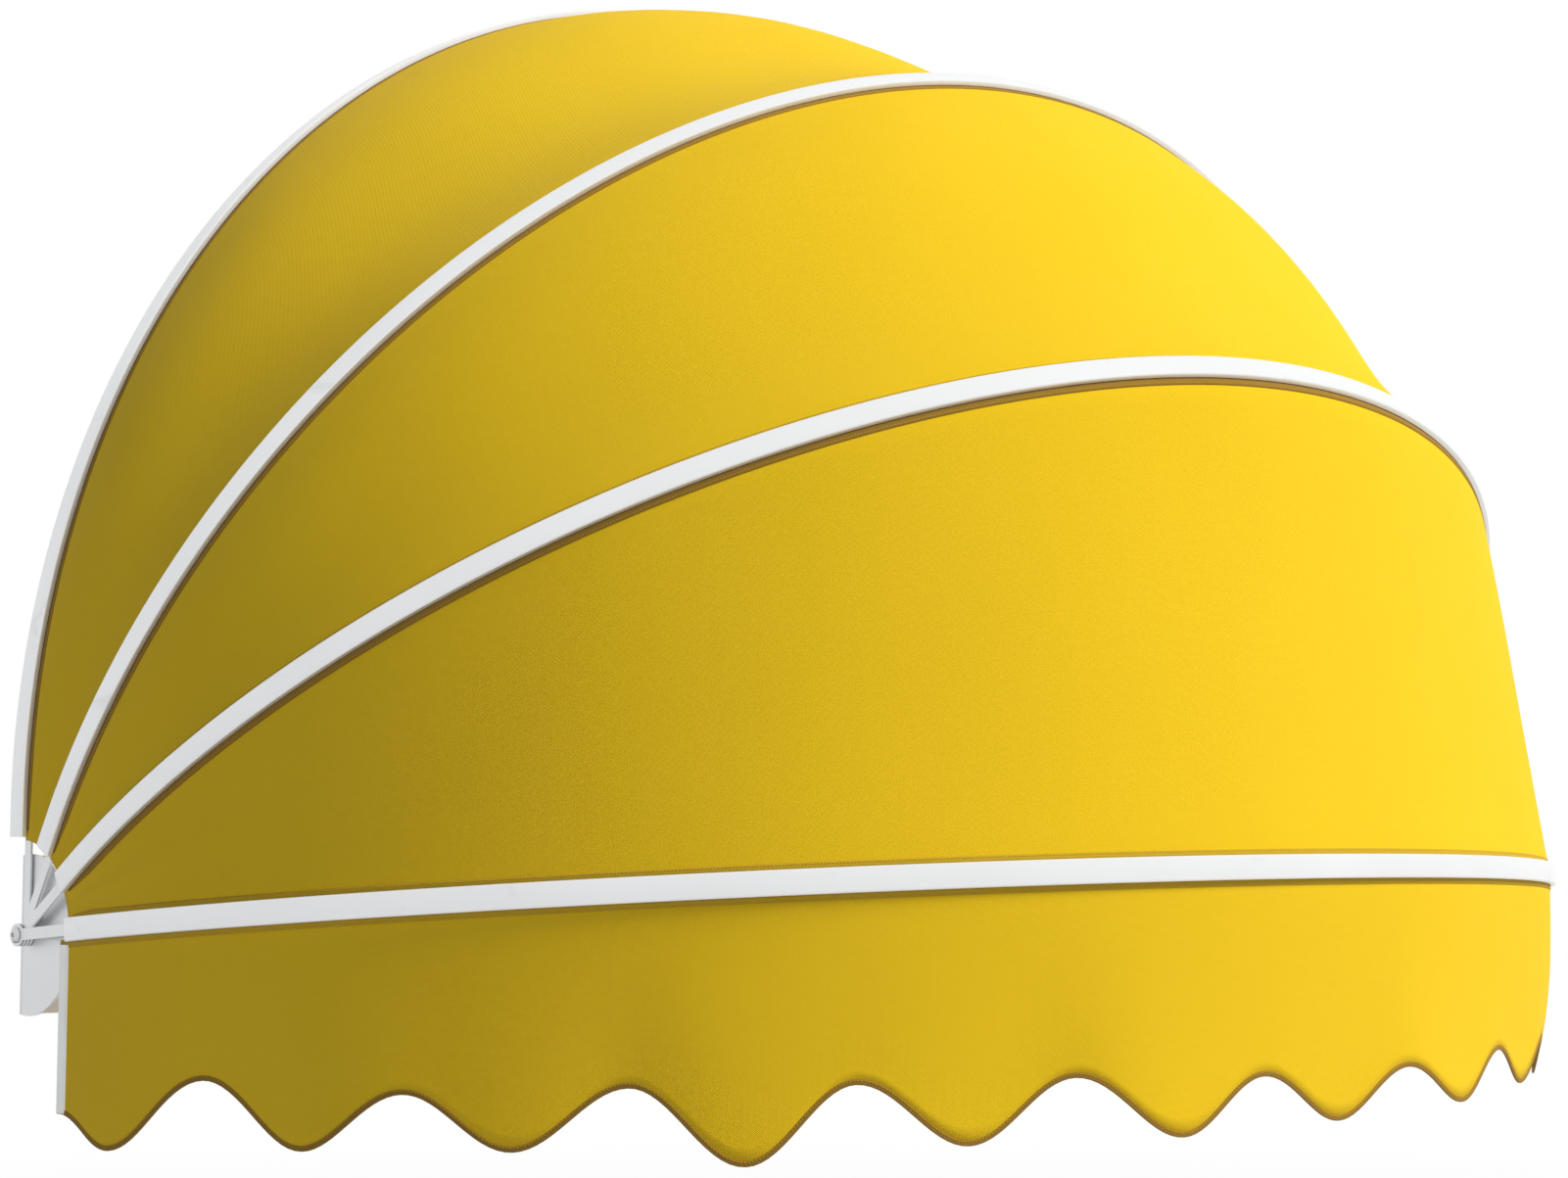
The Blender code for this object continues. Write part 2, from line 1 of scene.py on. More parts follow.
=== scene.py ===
import logging
import math
from dataclasses import dataclass
from enum import Enum
from functools import cache
from itertools import accumulate
from typing import Iterable, Sequence

import bmesh
import bpy
from bpy.types import ID, Material, Mesh, Node, NodeSocket, NodeTree, Object
from mathutils import Matrix, Vector


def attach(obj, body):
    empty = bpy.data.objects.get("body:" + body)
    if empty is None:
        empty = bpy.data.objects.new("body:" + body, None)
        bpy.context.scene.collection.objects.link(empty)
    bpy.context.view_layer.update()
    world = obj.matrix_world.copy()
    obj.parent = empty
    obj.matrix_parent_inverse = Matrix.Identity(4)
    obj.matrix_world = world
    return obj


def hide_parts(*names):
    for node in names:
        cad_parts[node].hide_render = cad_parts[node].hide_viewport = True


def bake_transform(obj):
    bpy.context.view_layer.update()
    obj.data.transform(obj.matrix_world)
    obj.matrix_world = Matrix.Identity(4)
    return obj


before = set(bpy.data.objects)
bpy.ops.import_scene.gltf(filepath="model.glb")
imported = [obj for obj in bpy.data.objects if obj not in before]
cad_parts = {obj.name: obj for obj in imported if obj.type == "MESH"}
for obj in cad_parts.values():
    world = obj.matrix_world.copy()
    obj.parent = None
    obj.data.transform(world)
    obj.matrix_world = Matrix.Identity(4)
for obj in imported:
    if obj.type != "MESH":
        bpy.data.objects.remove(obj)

Outline = Sequence[tuple[float, float]]
Profile = Sequence[tuple[float, ...]]
Rows = Sequence[Sequence[tuple[Vector, tuple[float, float]]]]
Line = Sequence[tuple[Vector, Vector]]

LOG = logging.getLogger("dome_awning")
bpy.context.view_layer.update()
CLOTH_PLACE = "cloth_place"
SURFACE_NORMAL = "surface_normal"
POINT_AXIS = "point_axis"
MERGE = 0.00001
SHARP_ANGLE = 40.0
SHEET_ANGLE = 60.0
HEXAGON = 6
SCREW_HOLE = 0.0023
WHITE = (1.0, 1.0, 1.0, 1.0)
DUST = (0.52, 0.50, 0.47, 1.0)
# Thread heights over which the weave's gaps take painted shade
GAP_SHADE_SPAN = (0.1, 0.5)
SCUFF_SPAN = (0.64, 0.70)
SLUB_STRETCH = (0.02, 0.9, 1.0)
NOISE_SPAN = (0.3, 0.7)


class Body(Enum):
    """Moving bodies of the frame."""

    WALL = "wall_frame"
    UPPER = "upper_hoop"
    MIDDLE = "middle_hoop"
    FRONT = "front_hoop"


class Slot(Enum):
    """Material slots of the record."""

    BOW = "bow_coating"
    BRACKET = "bracket_coating"
    LINK = "link_steel"
    FASTENER = "fastener"
    WASHER = "washer"
    CLOTH = "awning_cloth"
    TAPE = "binding_tape"


class Side(Enum):
    """Left and right ends of the hood, with their sign along X."""

    LEFT = -1
    RIGHT = 1

    @property
    def label(self) -> str:
        """Name used in the names of pieces."""
        return self.name.lower()


class Graph:
    """A short way to add and join the nodes of one tree."""

    def __init__(self, tree: NodeTree) -> None:
        """Keep the tree to work in."""
        self.tree = tree

    def fill(self, node: Node, inputs: dict) -> None:
        """Set or link the inputs of a node.

        Args:
            node: The node.
            inputs: Values or sockets, by index or name of the input.
        """
        for key, value in inputs.items():
            if isinstance(value, NodeSocket):
                self.tree.links.new(value, node.inputs[key])
            else:
                node.inputs[key].default_value = value

    def add(self, kind: str, inputs: dict | None = None, out: int | str = 0, **settings: object) -> NodeSocket:
        """Add one node.

        Args:
            kind: Blender's type name of the node.
            inputs: Values or sockets for its inputs, by index or name.
            out: The output wanted, by index or name.
            settings: Properties of the node.

        Returns:
            The node's output socket.
        """
        node = self.tree.nodes.new(kind)
        for key, value in settings.items():
            setattr(node, key, value)
        self.fill(node, inputs or {})
        return node.outputs[out]

    def math(self, operation: str, *values: object, clamp: bool = False) -> NodeSocket:
        """Math node on numbers or sockets, given in order."""
        return self.add("ShaderNodeMath", dict(enumerate(values)), operation=operation, use_clamp=clamp)

    def vector(self, operation: str, inputs: dict, out: int | str = 0) -> NodeSocket:
        """Vector Math node."""
        return self.add("ShaderNodeVectorMath", inputs, out, operation=operation)

    def mix(self, factor: object, first: object, second: object) -> NodeSocket:
        """Mix of two colours, by the share of the second."""
        return self.add("ShaderNodeMix", {0: factor, 6: first, 7: second}, out=2, data_type="RGBA")

    def remap(self, value: object, low: float, high: float, to_low: float = 0.0, to_high: float = 1.0) -> NodeSocket:
        """Range of a value stretched to another range, clamped."""
        return self.add("ShaderNodeMapRange", {0: value, 1: low, 2: high, 3: to_low, 4: to_high})

    def noise(self, place: NodeSocket, scale: object, detail: object, seed: object | None = None) -> NodeSocket:
        """Noise texture.

        Args:
            place: Coordinates.
            scale: Scale of the noise.
            detail: Its detail.
            seed: Fourth coordinate, or None for noise in three dimensions.

        Returns:
            Its value.
        """
        inputs = {"Vector": place, "Scale": scale, "Detail": detail}
        if seed is None:
            return self.add("ShaderNodeTexNoise", inputs)
        return self.add("ShaderNodeTexNoise", {**inputs, "W": seed}, noise_dimensions="4D")

    def place(self) -> NodeSocket:
        """Object coordinates."""
        return self.add("ShaderNodeTexCoord", out="Object")

    def bump(self, height: NodeSocket, distance: float) -> NodeSocket:
        """Normal of a height from 0 to 1, where 1 stands for a distance in metres."""
        return self.add("ShaderNodeBump", {"Height": height, "Distance": distance, "Strength": 1.0})

    def effect(self, tree: NodeTree, inputs: dict, out: str = "Mask") -> NodeSocket:
        """One output of a shader node group."""
        return self.add("ShaderNodeGroup", inputs, out, node_tree=tree)


def new_group(name: str, kind: str, inputs: dict, outputs: Sequence[str]) -> tuple[Graph, Sequence[NodeSocket], Node]:
    """Start a node group with named sockets.

    Args:
        name: Name of the group.
        kind: Shader or Geometry.
        inputs: Default of each input by name, or its socket type where it has none.
        outputs: Names of the outputs: numbers in a shader group, geometry in the other kind.

    Returns:
        Its graph, the sockets that it is given and its output node.
    """
    tree = bpy.data.node_groups.new(name, kind + "NodeTree")
    for label, default in inputs.items():
        typed = isinstance(default, str)
        socket_kind = default if typed else {int: "Int", float: "Float"}[type(default)]
        socket = tree.interface.new_socket(label, in_out="INPUT", socket_type="NodeSocket" + socket_kind)
        if not typed:
            socket.default_value = default
    result_kind = "NodeSocketFloat" if kind == "Shader" else "NodeSocketGeometry"
    for label in outputs:
        tree.interface.new_socket(label, in_out="OUTPUT", socket_type=result_kind)
    return Graph(tree), tree.nodes.new("NodeGroupInput").outputs, tree.nodes.new("NodeGroupOutput")


@cache
def weave_group() -> NodeTree:
    """Plain weave of round threads, as on solution-dyed canvas, with painted shade in the low gaps between the
    threads.

    Returns:
        The shader node group.
    """
    graph, given, result = new_group(
        "plain_weave", "Shader", {"Place": "Vector", "Pitch": 0.001}, ("Height", "Crossing", "Slub")
    )
    counts = graph.vector("SCALE", {0: given["Place"], 3: graph.math("DIVIDE", 1.0, given["Pitch"])})
    warp, weft, _ = graph.add("ShaderNodeSeparateXYZ", {0: counts}).node.outputs

    def thread(across: NodeSocket, down: NodeSocket, shift: float) -> NodeSocket:
        """Height of one set of threads as they pass over and under.

        Args:
            across: Place across the threads, in threads.
            down: Place along them.
            shift: 1 for the set that starts below.

        Returns:
            The height, from 0 to 1.
        """
        crown = graph.math("ABSOLUTE", graph.math("SINE", graph.math("MULTIPLY", across, math.pi)))
        phase = graph.math("ADD", graph.math("ADD", down, graph.math("FLOOR", across)), shift)
        over = graph.math("COSINE", graph.math("MULTIPLY", phase, math.pi))
        return graph.math("MULTIPLY", crown, graph.math("MULTIPLY_ADD", over, 0.5, 0.5))

    height = graph.math("MAXIMUM", thread(warp, weft, 0.0), thread(weft, warp, 1.0))
    drawn_out = graph.vector("MULTIPLY", {0: counts, 1: SLUB_STRETCH})
    slub = graph.remap(graph.noise(drawn_out, 1.0, 2.0), *NOISE_SPAN)
    # Gap Shade is 1 where the threads dip low: it marks painted shade in the weave's gaps
    graph.fill(result, {"Height": height, "Crossing": graph.remap(height, *GAP_SHADE_SPAN, 1.0, 0.0), "Slub": slub})
    return graph.tree


@cache
def mottle_group() -> NodeTree:
    """Soft uneven tone, such as fading, dust or the flow of a coating.

    Returns:
        The shader node group, with a Mask output from 0 to 1.
    """
    graph, given, result = new_group(
        "soft_mottle", "Shader", {"Place": "Vector", "Patch Size": 0.1, "Detail": 3.0, "Seed": 0.0}, ("Mask",)
    )
    scale = graph.math("DIVIDE", 1.0, given["Patch Size"])
    noise = graph.noise(given["Place"], scale, given["Detail"], given["Seed"])
    graph.fill(result, {"Mask": graph.remap(noise, *NOISE_SPAN)})
    return graph.tree


@cache
def scuff_group() -> NodeTree:
    """Fine hairline scuffs, crossed at two angles.

    Returns:
        The shader node group, with a Mask output that is 1 on a scuff.
    """
    graph, given, result = new_group("hairline_scuffs", "Shader", {"Place": "Vector", "Spread": 40.0}, ("Mask",))
    masks = []
    for stretch, seed in (((1.0, 0.06, 1.0), 3.1), ((0.06, 1.0, 1.0), 8.7)):
        place = graph.vector("MULTIPLY", {0: given["Place"], 1: stretch})
        masks.append(graph.remap(graph.noise(place, given["Spread"], 6.0, seed), *SCUFF_SPAN))
    graph.fill(result, {"Mask": graph.math("MAXIMUM", *masks)})
    return graph.tree


@dataclass(frozen=True)
class Finish:
    """A surface: its name, its slot in the record and its plain values."""

    name: str
    slot: Slot
    colour: tuple[float, float, float]
    roughness: float

    @cache
    def material(self) -> Material:
        """Build the material once and give the same one after that.

        Returns:
            The material.
        """
        material = bpy.data.materials.new(self.name)
        material.use_nodes = True
        material.diffuse_color = self.rgba()
        graph = Graph(material.node_tree)
        shader = material.node_tree.nodes["Principled BSDF"]
        graph.fill(shader, {"Roughness": self.roughness})
        graph.fill(shader, self.dress(graph))
        return material

    def rgba(self, scale: float = 1.0) -> tuple[float, float, float, float]:
        """The colour, made darker or lighter by a factor, with alpha."""
        return (*(min(1.0, channel * scale) for channel in self.colour), 1.0)

    def toned(self, graph: Graph, mask: NodeSocket, amount: float, scale: float, under: object = None) -> NodeSocket:
        """Lay a darker or lighter tone of the colour over another where a mask says so.

        Args:
            graph: Graph of the material.
            mask: Where it lies, from 0 to 1.
            amount: Its share at 1.
            scale: Factor on the finish's colour.
            under: Colour below it, or None for the finish's own.

        Returns:
            The colour.
        """
        return graph.mix(graph.math("MULTIPLY", mask, amount), under or self.rgba(), self.rgba(scale))

    def rough(self, graph: Graph, mask: NodeSocket, more: float, less: float = 0.0) -> NodeSocket:
        """Roughness from less than the finish's own, where a mask is 0, to more, where it is 1."""
        return graph.remap(mask, 0.0, 1.0, self.roughness - less, self.roughness + more)

    def mottle(self, graph: Graph, patch_size: float, detail: float, seed: float) -> NodeSocket:
        """Mask of soft patches over the piece."""
        inputs = {"Place": graph.place(), "Patch Size": patch_size, "Detail": detail, "Seed": seed}
        return graph.effect(mottle_group(), inputs)

    def scuffs(self, graph: Graph, spread: float) -> NodeSocket:
        """Mask of hairline scuffs over the piece."""
        return graph.effect(scuff_group(), {"Place": graph.place(), "Spread": spread})

    def dress(self, graph: Graph) -> dict:
        """Colour, roughness and relief for the Principled BSDF, by input name."""
        raise NotImplementedError


@dataclass(frozen=True)
class ClothFinish(Finish):
    """Woven cloth or tape with its threads along the piece."""

    pitch: float = 0.0011
    relief: float = 0.00022
    patch_size: float = 0.22
    sheen: float = 0.03
    fading: float = 0.10
    slubs: float = 0.10
    # Share of painted shade darkening the gaps between threads
    crossings: float = 0.30
    pearl: float = 0.0

    def dress(self, graph: Graph) -> dict:
        """Weave, slubs, a little fading and painted shade in the weave's gaps.

        Args:
            graph: Graph of the material.

        Returns:
            Sockets and values for the shader.
        """
        place = graph.add("ShaderNodeAttribute", out="Vector", attribute_name=CLOTH_PLACE)
        weave = graph.effect(weave_group(), {"Place": place, "Pitch": self.pitch}, "Height").node.outputs
        patches = self.mottle(graph, self.patch_size, 4.0, 2.0)
        faded = self.toned(graph, patches, self.fading, 0.72)
        slubbed = self.toned(graph, weave["Slub"], self.slubs, 0.80, faded)
        return {
            # Painted shade darkens the colour in the weave's gaps
            "Base Color": self.toned(graph, weave["Crossing"], self.crossings, 0.55, slubbed),
            "Roughness": self.rough(graph, patches, 0.06, 0.04),
            "Normal": graph.bump(weave["Height"], self.relief),
            "Sheen Weight": self.sheen,
            "Sheen Roughness": 0.5,
            "Specular IOR Level": 0.26,
            "Metallic": self.pearl,
        }


@dataclass(frozen=True)
class ThreadFinish(Finish):
    """Twisted sewing thread."""

    twist: float = 900.0
    relief: float = 0.00008

    def dress(self, graph: Graph) -> dict:
        """Twisted strands and small changes of tone.

        Args:
            graph: Graph of the material.

        Returns:
            Sockets and values for the shader.
        """
        tone = graph.remap(graph.noise(graph.place(), self.twist, 2.0), *NOISE_SPAN)
        return {
            "Base Color": self.toned(graph, tone, 0.5, 0.65),
            "Roughness": self.rough(graph, tone, 0.1),
            "Normal": graph.bump(tone, self.relief),
        }


@dataclass(frozen=True)
class CoatFinish(Finish):
    """Pearly powder coating on metal, with its fine orange peel and a few scuffs."""

    pearl: float = 0.7
    peel: float = 0.0022
    relief: float = 0.000025
    dust: float = 0.10
    dust_patch: float = 0.16
    scuff_spread: float = 30.0

    def dress(self, graph: Graph) -> dict:
        """Orange peel, a trace of dust and hairline scuffs.

        Args:
            graph: Graph of the material.

        Returns:
            Sockets and values for the shader.
        """
        dust = self.mottle(graph, self.dust_patch, 6.0, 9.0)
        scuffs = self.scuffs(graph, self.scuff_spread)
        dusty = graph.mix(graph.math("MULTIPLY", dust, self.dust), self.rgba(), DUST)
        return {
            "Base Color": self.toned(graph, scuffs, 0.18, 0.7, dusty),
            "Roughness": graph.math("MULTIPLY_ADD", scuffs, 0.10, self.rough(graph, dust, 0.12)),
            "Normal": graph.bump(self.mottle(graph, self.peel, 1.0, 5.0), self.relief),
            "Metallic": self.pearl,
            "Coat Weight": 0.5,
            "Coat Roughness": 0.25,
        }


@dataclass(frozen=True)
class SteelFinish(Finish):
    """Zinc-plated steel with its cloudy bloom and fine scratches."""

    bloom: float = 0.006
    relief: float = 0.00002
    scuff_spread: float = 260.0

    def dress(self, graph: Graph) -> dict:
        """Cloudy zinc and scratches.

        Args:
            graph: Graph of the material.

        Returns:
            Sockets and values for the shader.
        """
        bloom = self.mottle(graph, self.bloom, 5.0, 4.0)
        scuffs = self.scuffs(graph, self.scuff_spread)
        return {
            "Base Color": self.toned(graph, scuffs, 0.3, 1.25, self.toned(graph, bloom, 0.45, 0.68)),
            "Roughness": graph.math("MULTIPLY_ADD", bloom, 0.18, self.roughness),
            "Normal": graph.bump(graph.math("ADD", bloom, scuffs), self.relief),
            "Metallic": 1.0,
        }


@dataclass(frozen=True)
class NylonFinish(Finish):
    """Moulded nylon, slightly waxy."""

    grain: float = 0.0009
    relief: float = 0.00003

    def dress(self, graph: Graph) -> dict:
        """Moulded grain and a faint change of tone.

        Args:
            graph: Graph of the material.

        Returns:
            Sockets and values for the shader.
        """
        grain = self.mottle(graph, self.grain, 2.0, 1.0)
        return {
            "Base Color": self.toned(graph, grain, 0.15, 0.85),
            "Roughness": self.rough(graph, grain, 0.15),
            "Normal": graph.bump(grain, self.relief),
        }


CANVAS = ClothFinish("yellow_canvas", Slot.CLOTH, (0.93, 0.604, 0.012), 0.80)
# Darker than the canvas: painted shade where the cloth dips into each bow's groove
PAINTED_SHADE_HEM_CANVAS = ClothFinish("yellow_canvas_hem", Slot.CLOTH, (0.66, 0.42, 0.024), 0.80)
# Ochre binding of the scalloped edge; the same dark colour also lies under each bow as painted shadow
EDGE_BINDING_AND_PAINTED_SHADOW = ClothFinish(
    "ochre_edge_binding", Slot.CLOTH, (0.36, 0.20, 0.030), 0.82, pitch=0.0007, relief=0.00012, fading=0.15
)
END_TAPE = ClothFinish(
    "pearly_edge_tape", Slot.TAPE, (0.92, 0.93, 0.93), 0.60, pitch=0.0009, relief=0.00010, patch_size=0.05, pearl=0.6
)
THREAD = ThreadFinish("ochre_thread", Slot.CLOTH, (0.66, 0.42, 0.025), 0.60)
TAPE_THREAD = ThreadFinish("white_thread", Slot.TAPE, (0.80, 0.80, 0.78), 0.60)
BOW_COAT = CoatFinish("white_bow_coat", Slot.BOW, (0.90, 0.905, 0.915), 0.42, dust=0.04)
BRACKET_COAT = CoatFinish("white_bracket_coat", Slot.BRACKET, (0.84, 0.85, 0.87), 0.40)
LINK_COAT = CoatFinish("white_link_coat", Slot.LINK, (0.84, 0.85, 0.87), 0.38)
FASTENER_STEEL = SteelFinish("zinc_fastener_steel", Slot.FASTENER, (0.66, 0.66, 0.67), 0.24, bloom=0.003)
NYLON = NylonFinish("nylon_washer", Slot.WASHER, (0.80, 0.80, 0.76), 0.42)


def mesh_from(bm: bmesh.types.BMesh, name: str, outward: bool = True) -> Mesh:
    """Turn a bmesh into a mesh.

    Args:
        bm: Source, freed afterwards.
        name: Name of the mesh.
        outward: Whether doubles are merged and faces turned outwards.

    Returns:
        The mesh.
    """
    if outward:
        bmesh.ops.remove_doubles(bm, verts=bm.verts, dist=MERGE)
        bmesh.ops.recalc_face_normals(bm, faces=bm.faces)
    mesh = bpy.data.meshes.new(name)
    bm.to_mesh(mesh)
    bm.free()
    return mesh


def new_object(name: str, data: ID) -> Object:
    """Put a mesh, a lamp or a camera in the scene.

    Args:
        name: Name of the object.
        data: What it holds.

    Returns:
        The object.
    """
    thing = bpy.data.objects.new(name, data)
    bpy.context.scene.collection.objects.link(thing)
    return thing


def baked(thing: Object) -> Mesh:
    """Apply an object's modifiers and remove the object.

    Args:
        thing: Object with modifiers.

    Returns:
        The evaluated mesh, with the object's place in it.
    """
    bpy.context.view_layer.update()
    mesh = bpy.data.meshes.new_from_object(thing.evaluated_get(bpy.context.evaluated_depsgraph_get()))
    mesh.transform(thing.matrix_world)
    bpy.data.objects.remove(thing)
    return mesh


def modified(thing: Object, kind: str, **settings: object) -> Object:
    """Add a live modifier.

    Args:
        thing: The object.
        kind: Blender's type name of the modifier.
        settings: Its properties.

    Returns:
        The same object.
    """
    step = thing.modifiers.new(kind.lower(), kind)
    for key, value in settings.items():
        setattr(step, key, value)
    return thing


def bevelled(thing: Object, width: float, segments: int = 2) -> Object:
    """Round an object's sharp edges with a live Bevel.

    Args:
        thing: The object.
        width: Width of the rounding.
        segments: Steps in it.

    Returns:
        The same object.
    """
    limit = math.radians(SHARP_ANGLE)
    return modified(
        thing, "BEVEL", width=width, segments=segments, limit_method="ANGLE", angle_limit=limit, harden_normals=True
    )


def solidified(thing: Object, thickness: float) -> Object:
    """Give an open sheet its thickness, half to each side."""
    return modified(thing, "SOLIDIFY", thickness=thickness, offset=0.0, use_even_offset=True)


def smooth(mesh: Mesh, angle: float = SHARP_ANGLE) -> Mesh:
    """Shade a mesh smooth, with sharp edges past an angle in degrees.

    Args:
        mesh: The mesh.
        angle: The angle.

    Returns:
        The same mesh.
    """
    mesh.shade_smooth()
    mesh.set_sharp_from_angle(angle=math.radians(angle))
    return mesh


def keep_vectors(mesh: Mesh, name: str, vectors: Iterable[Iterable[float]]) -> Mesh:
    """Store a vector with each point of a mesh.

    Args:
        mesh: The mesh.
        name: Name of the attribute.
        vectors: The vectors, in the order of the points.

    Returns:
        The same mesh.
    """
    data = mesh.attributes.new(name, "FLOAT_VECTOR", "POINT").data
    data.foreach_set("vector", [value for vector in vectors for value in vector])
    return mesh


def published(thing: Object, finish: Finish, body: Body | None, replaces: Iterable[str] = ()) -> Object:
    """Give a piece its finish and body, and report it.

    Args:
        thing: The piece.
        finish: Its surface.
        body: Body that it rides on, or None for a piece that rides on none.
        replaces: Nodes of the frame that it stands for.

    Returns:
        The same piece.
    """
    thing.data.materials.clear()
    thing.data.materials.append(finish.material())
    if body:
        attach(thing, body.value)
    if replaces:
        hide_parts(*replaces)
    LOG.info("%s: %d faces", thing.name, len(thing.data.polygons))
    return thing


def grid_sheet(name: str, rows: Rows) -> Object:
    """Open sheet through rows of points, with its place along the cloth kept as an attribute.

    Args:
        name: Name of the object.
        rows: For each row, points and their place (along, across) in metres.

    Returns:
        The sheet.
    """
    bm = bmesh.new()
    corners = [[bm.verts.new(point) for point, _ in row] for row in rows]
    for low, high in zip(corners, corners[1:]):
        for i in range(len(low) - 1):
            bm.faces.new((low[i], low[i + 1], high[i + 1], high[i]))
    mesh = smooth(mesh_from(bm, name, outward=False), SHEET_ANGLE)
    return new_object(name, keep_vectors(mesh, CLOTH_PLACE, ((*place, 0.0) for row in rows for _, place in row)))


def path_length(points: Sequence[Vector]) -> float:
    """Length of a line through points."""
    return sum((after - before).length for before, after in zip(points, points[1:]))


def sweep(name: str, frames: Sequence[Matrix], section: Outline) -> Object:
    """Closed bar of one section along a row of frames.

    Args:
        name: Name of the object.
        frames: Frames along the path, whose X and Y axes carry the section.
        section: Closed outline of the section.

    Returns:
        The bar, with its place along the path kept as an attribute.
    """
    bm = bmesh.new()
    rings = [[bm.verts.new(place @ Vector((x, y, 0))) for x, y in section] for place in frames]
    count = len(section)
    for low, high in zip(rings, rings[1:]):
        for i in range(count):
            bm.faces.new((low[i], low[(i + 1) % count], high[(i + 1) % count], high[i]))
    bm.faces.new(list(reversed(rings[0])))
    bm.faces.new(rings[-1])
    bmesh.ops.recalc_face_normals(bm, faces=bm.faces)
    mesh = smooth(mesh_from(bm, name, outward=False))
    spine = [place.translation for place in frames]
    runs = list(accumulate(map(math.dist, spine, spine[1:]), initial=0.0))
    girth = list(accumulate(map(math.dist, section, section[1:]), initial=0.0))
    places = ((run, around, 0.0) for run in runs for around in girth)
    return new_object(name, keep_vectors(mesh, CLOTH_PLACE, places))


def arc(centre: tuple[float, float], radius: float, first: float, last: float, steps: int) -> Outline:
    """Points of an arc.

    Args:
        centre: Its centre.
        radius: Its radius.
        first: First angle in degrees.
        last: Last angle in degrees.
        steps: Steps between them.

    Returns:
        The points, both ends among them.
    """
    turns = (math.radians(first + (last - first) * step / steps) for step in range(steps + 1))
    return [(centre[0] + radius * math.cos(turn), centre[1] + radius * math.sin(turn)) for turn in turns]


def circle(centre: tuple[float, float], radius: float, steps: int = 40) -> Outline:
    """Closed round outline."""
    return arc(centre, radius, 0, 360, steps)[:-1]


def rounded_section(width: float, height: float, radius: float, steps: int = 3) -> Outline:
    """Rectangle with round corners, centred on the origin.

    Args:
        width: Size along X.
        height: Size along Y.
        radius: Radius of the corners.
        steps: Steps in each corner.

    Returns:
        Its closed outline, anticlockwise.
    """
    points = []
    for quarter, (sx, sy) in enumerate(((1, 1), (-1, 1), (-1, -1), (1, -1))):
        centre = (sx * (width / 2 - radius), sy * (height / 2 - radius))
        points += arc(centre, radius, 90 * quarter, 90 * (quarter + 1), steps)
    return points


def plate(name: str, loops: Sequence[Outline], low: float, high: float) -> Object:
    """Flat plate in the YZ plane from its outline and holes.

    Args:
        name: Name of the object.
        loops: Outline first, then holes, as (y, z) points.
        low: Its lower x.
        high: Its higher x.

    Returns:
        The plate.
    """
    bm = bmesh.new()
    edges = []
    for loop in loops:
        ring = [bm.verts.new((low, y, z)) for y, z in loop]
        edges += [bm.edges.new((ring[i - 1], ring[i])) for i in range(len(ring))]
    filled = bmesh.ops.triangle_fill(bm, edges=edges, use_beauty=True)["geom"]
    faces = [item for item in filled if isinstance(item, bmesh.types.BMFace)]
    grown_parts = bmesh.ops.extrude_face_region(bm, geom=faces + bm.edges[:])["geom"]
    corners = [item for item in grown_parts if isinstance(item, bmesh.types.BMVert)]
    bmesh.ops.translate(bm, verts=corners, vec=(high - low, 0, 0))
    return new_object(name, smooth(mesh_from(bm, name)))


def hexagon_reach(turn: float) -> float:
    """Reach of a hexagon of unit corner radius at an angle."""
    return math.cos(math.pi / 6) / math.cos(turn % (math.pi / 3) - math.pi / 6)


def turned(name: str, profile: Profile, steps: int = 48) -> Mesh:
    """Turned piece about Z from its profile.

    Args:
        name: Name of the mesh.
        profile: (radius, z), and HEXAGON where it is six-sided, from top axis to bottom axis; a closed ring if it
            starts off the axis.
        steps: Steps round it.

    Returns:
        The mesh.
    """
    bm = bmesh.new()
    rings = []
    for turn in (math.tau * step / steps for step in range(steps)):
        ring = []
        for radius, z, *sides in profile:
            reach = radius * (hexagon_reach(turn) if sides else 1.0)
            ring.append(bm.verts.new((reach * math.cos(turn), reach * math.sin(turn), z)))
        rings.append(ring)
    count = len(profile)
    on_axis = [point[0] <= MERGE for point in profile]
    for index, ring in enumerate(rings):
        after = rings[(index + 1) % steps]
        for i in range(count - 1 if on_axis[0] else count):
            j = (i + 1) % count
            corners = [ring[i], ring[j], after[j], after[i]]
            if on_axis[i]:
                corners = [ring[i], ring[j], after[j]]
            elif on_axis[j]:
                corners = [ring[i], ring[j], after[i]]
            bm.faces.new(corners)
    return smooth(mesh_from(bm, name))


def shaped(thing: Object, tools: Sequence[Object], operation: str = "DIFFERENCE") -> Object:
    """Cut tools out of an object, or join them to it, and keep plain mesh.

    Args:
        thing: The object.
        tools: Shapes to cut out or join, removed afterwards.
        operation: DIFFERENCE or UNION.

    Returns:
        The new object, under the same name.
    """
    for tool in tools:
        modified(thing, "BOOLEAN", operation=operation, solver="EXACT", object=tool)
    name = thing.name
    mesh = baked(thing)
    for tool in tools:
        bpy.data.objects.remove(tool)
    mesh.name = name
    return new_object(name, smooth(mesh))


def box(name: str, low: Vector, high: Vector) -> Object:
    """Box between two corners, used to cut or join.

    Args:
        name: Name of the object.
        low: Its lowest corner.
        high: Its highest corner.

    Returns:
        The box.
    """
    bm = bmesh.new()
    bmesh.ops.create_cube(bm, size=1.0)
    bm.transform(Matrix.Translation((low + high) / 2) @ Matrix.Diagonal((*(high - low), 1.0)))
    return new_object(name, mesh_from(bm, name))


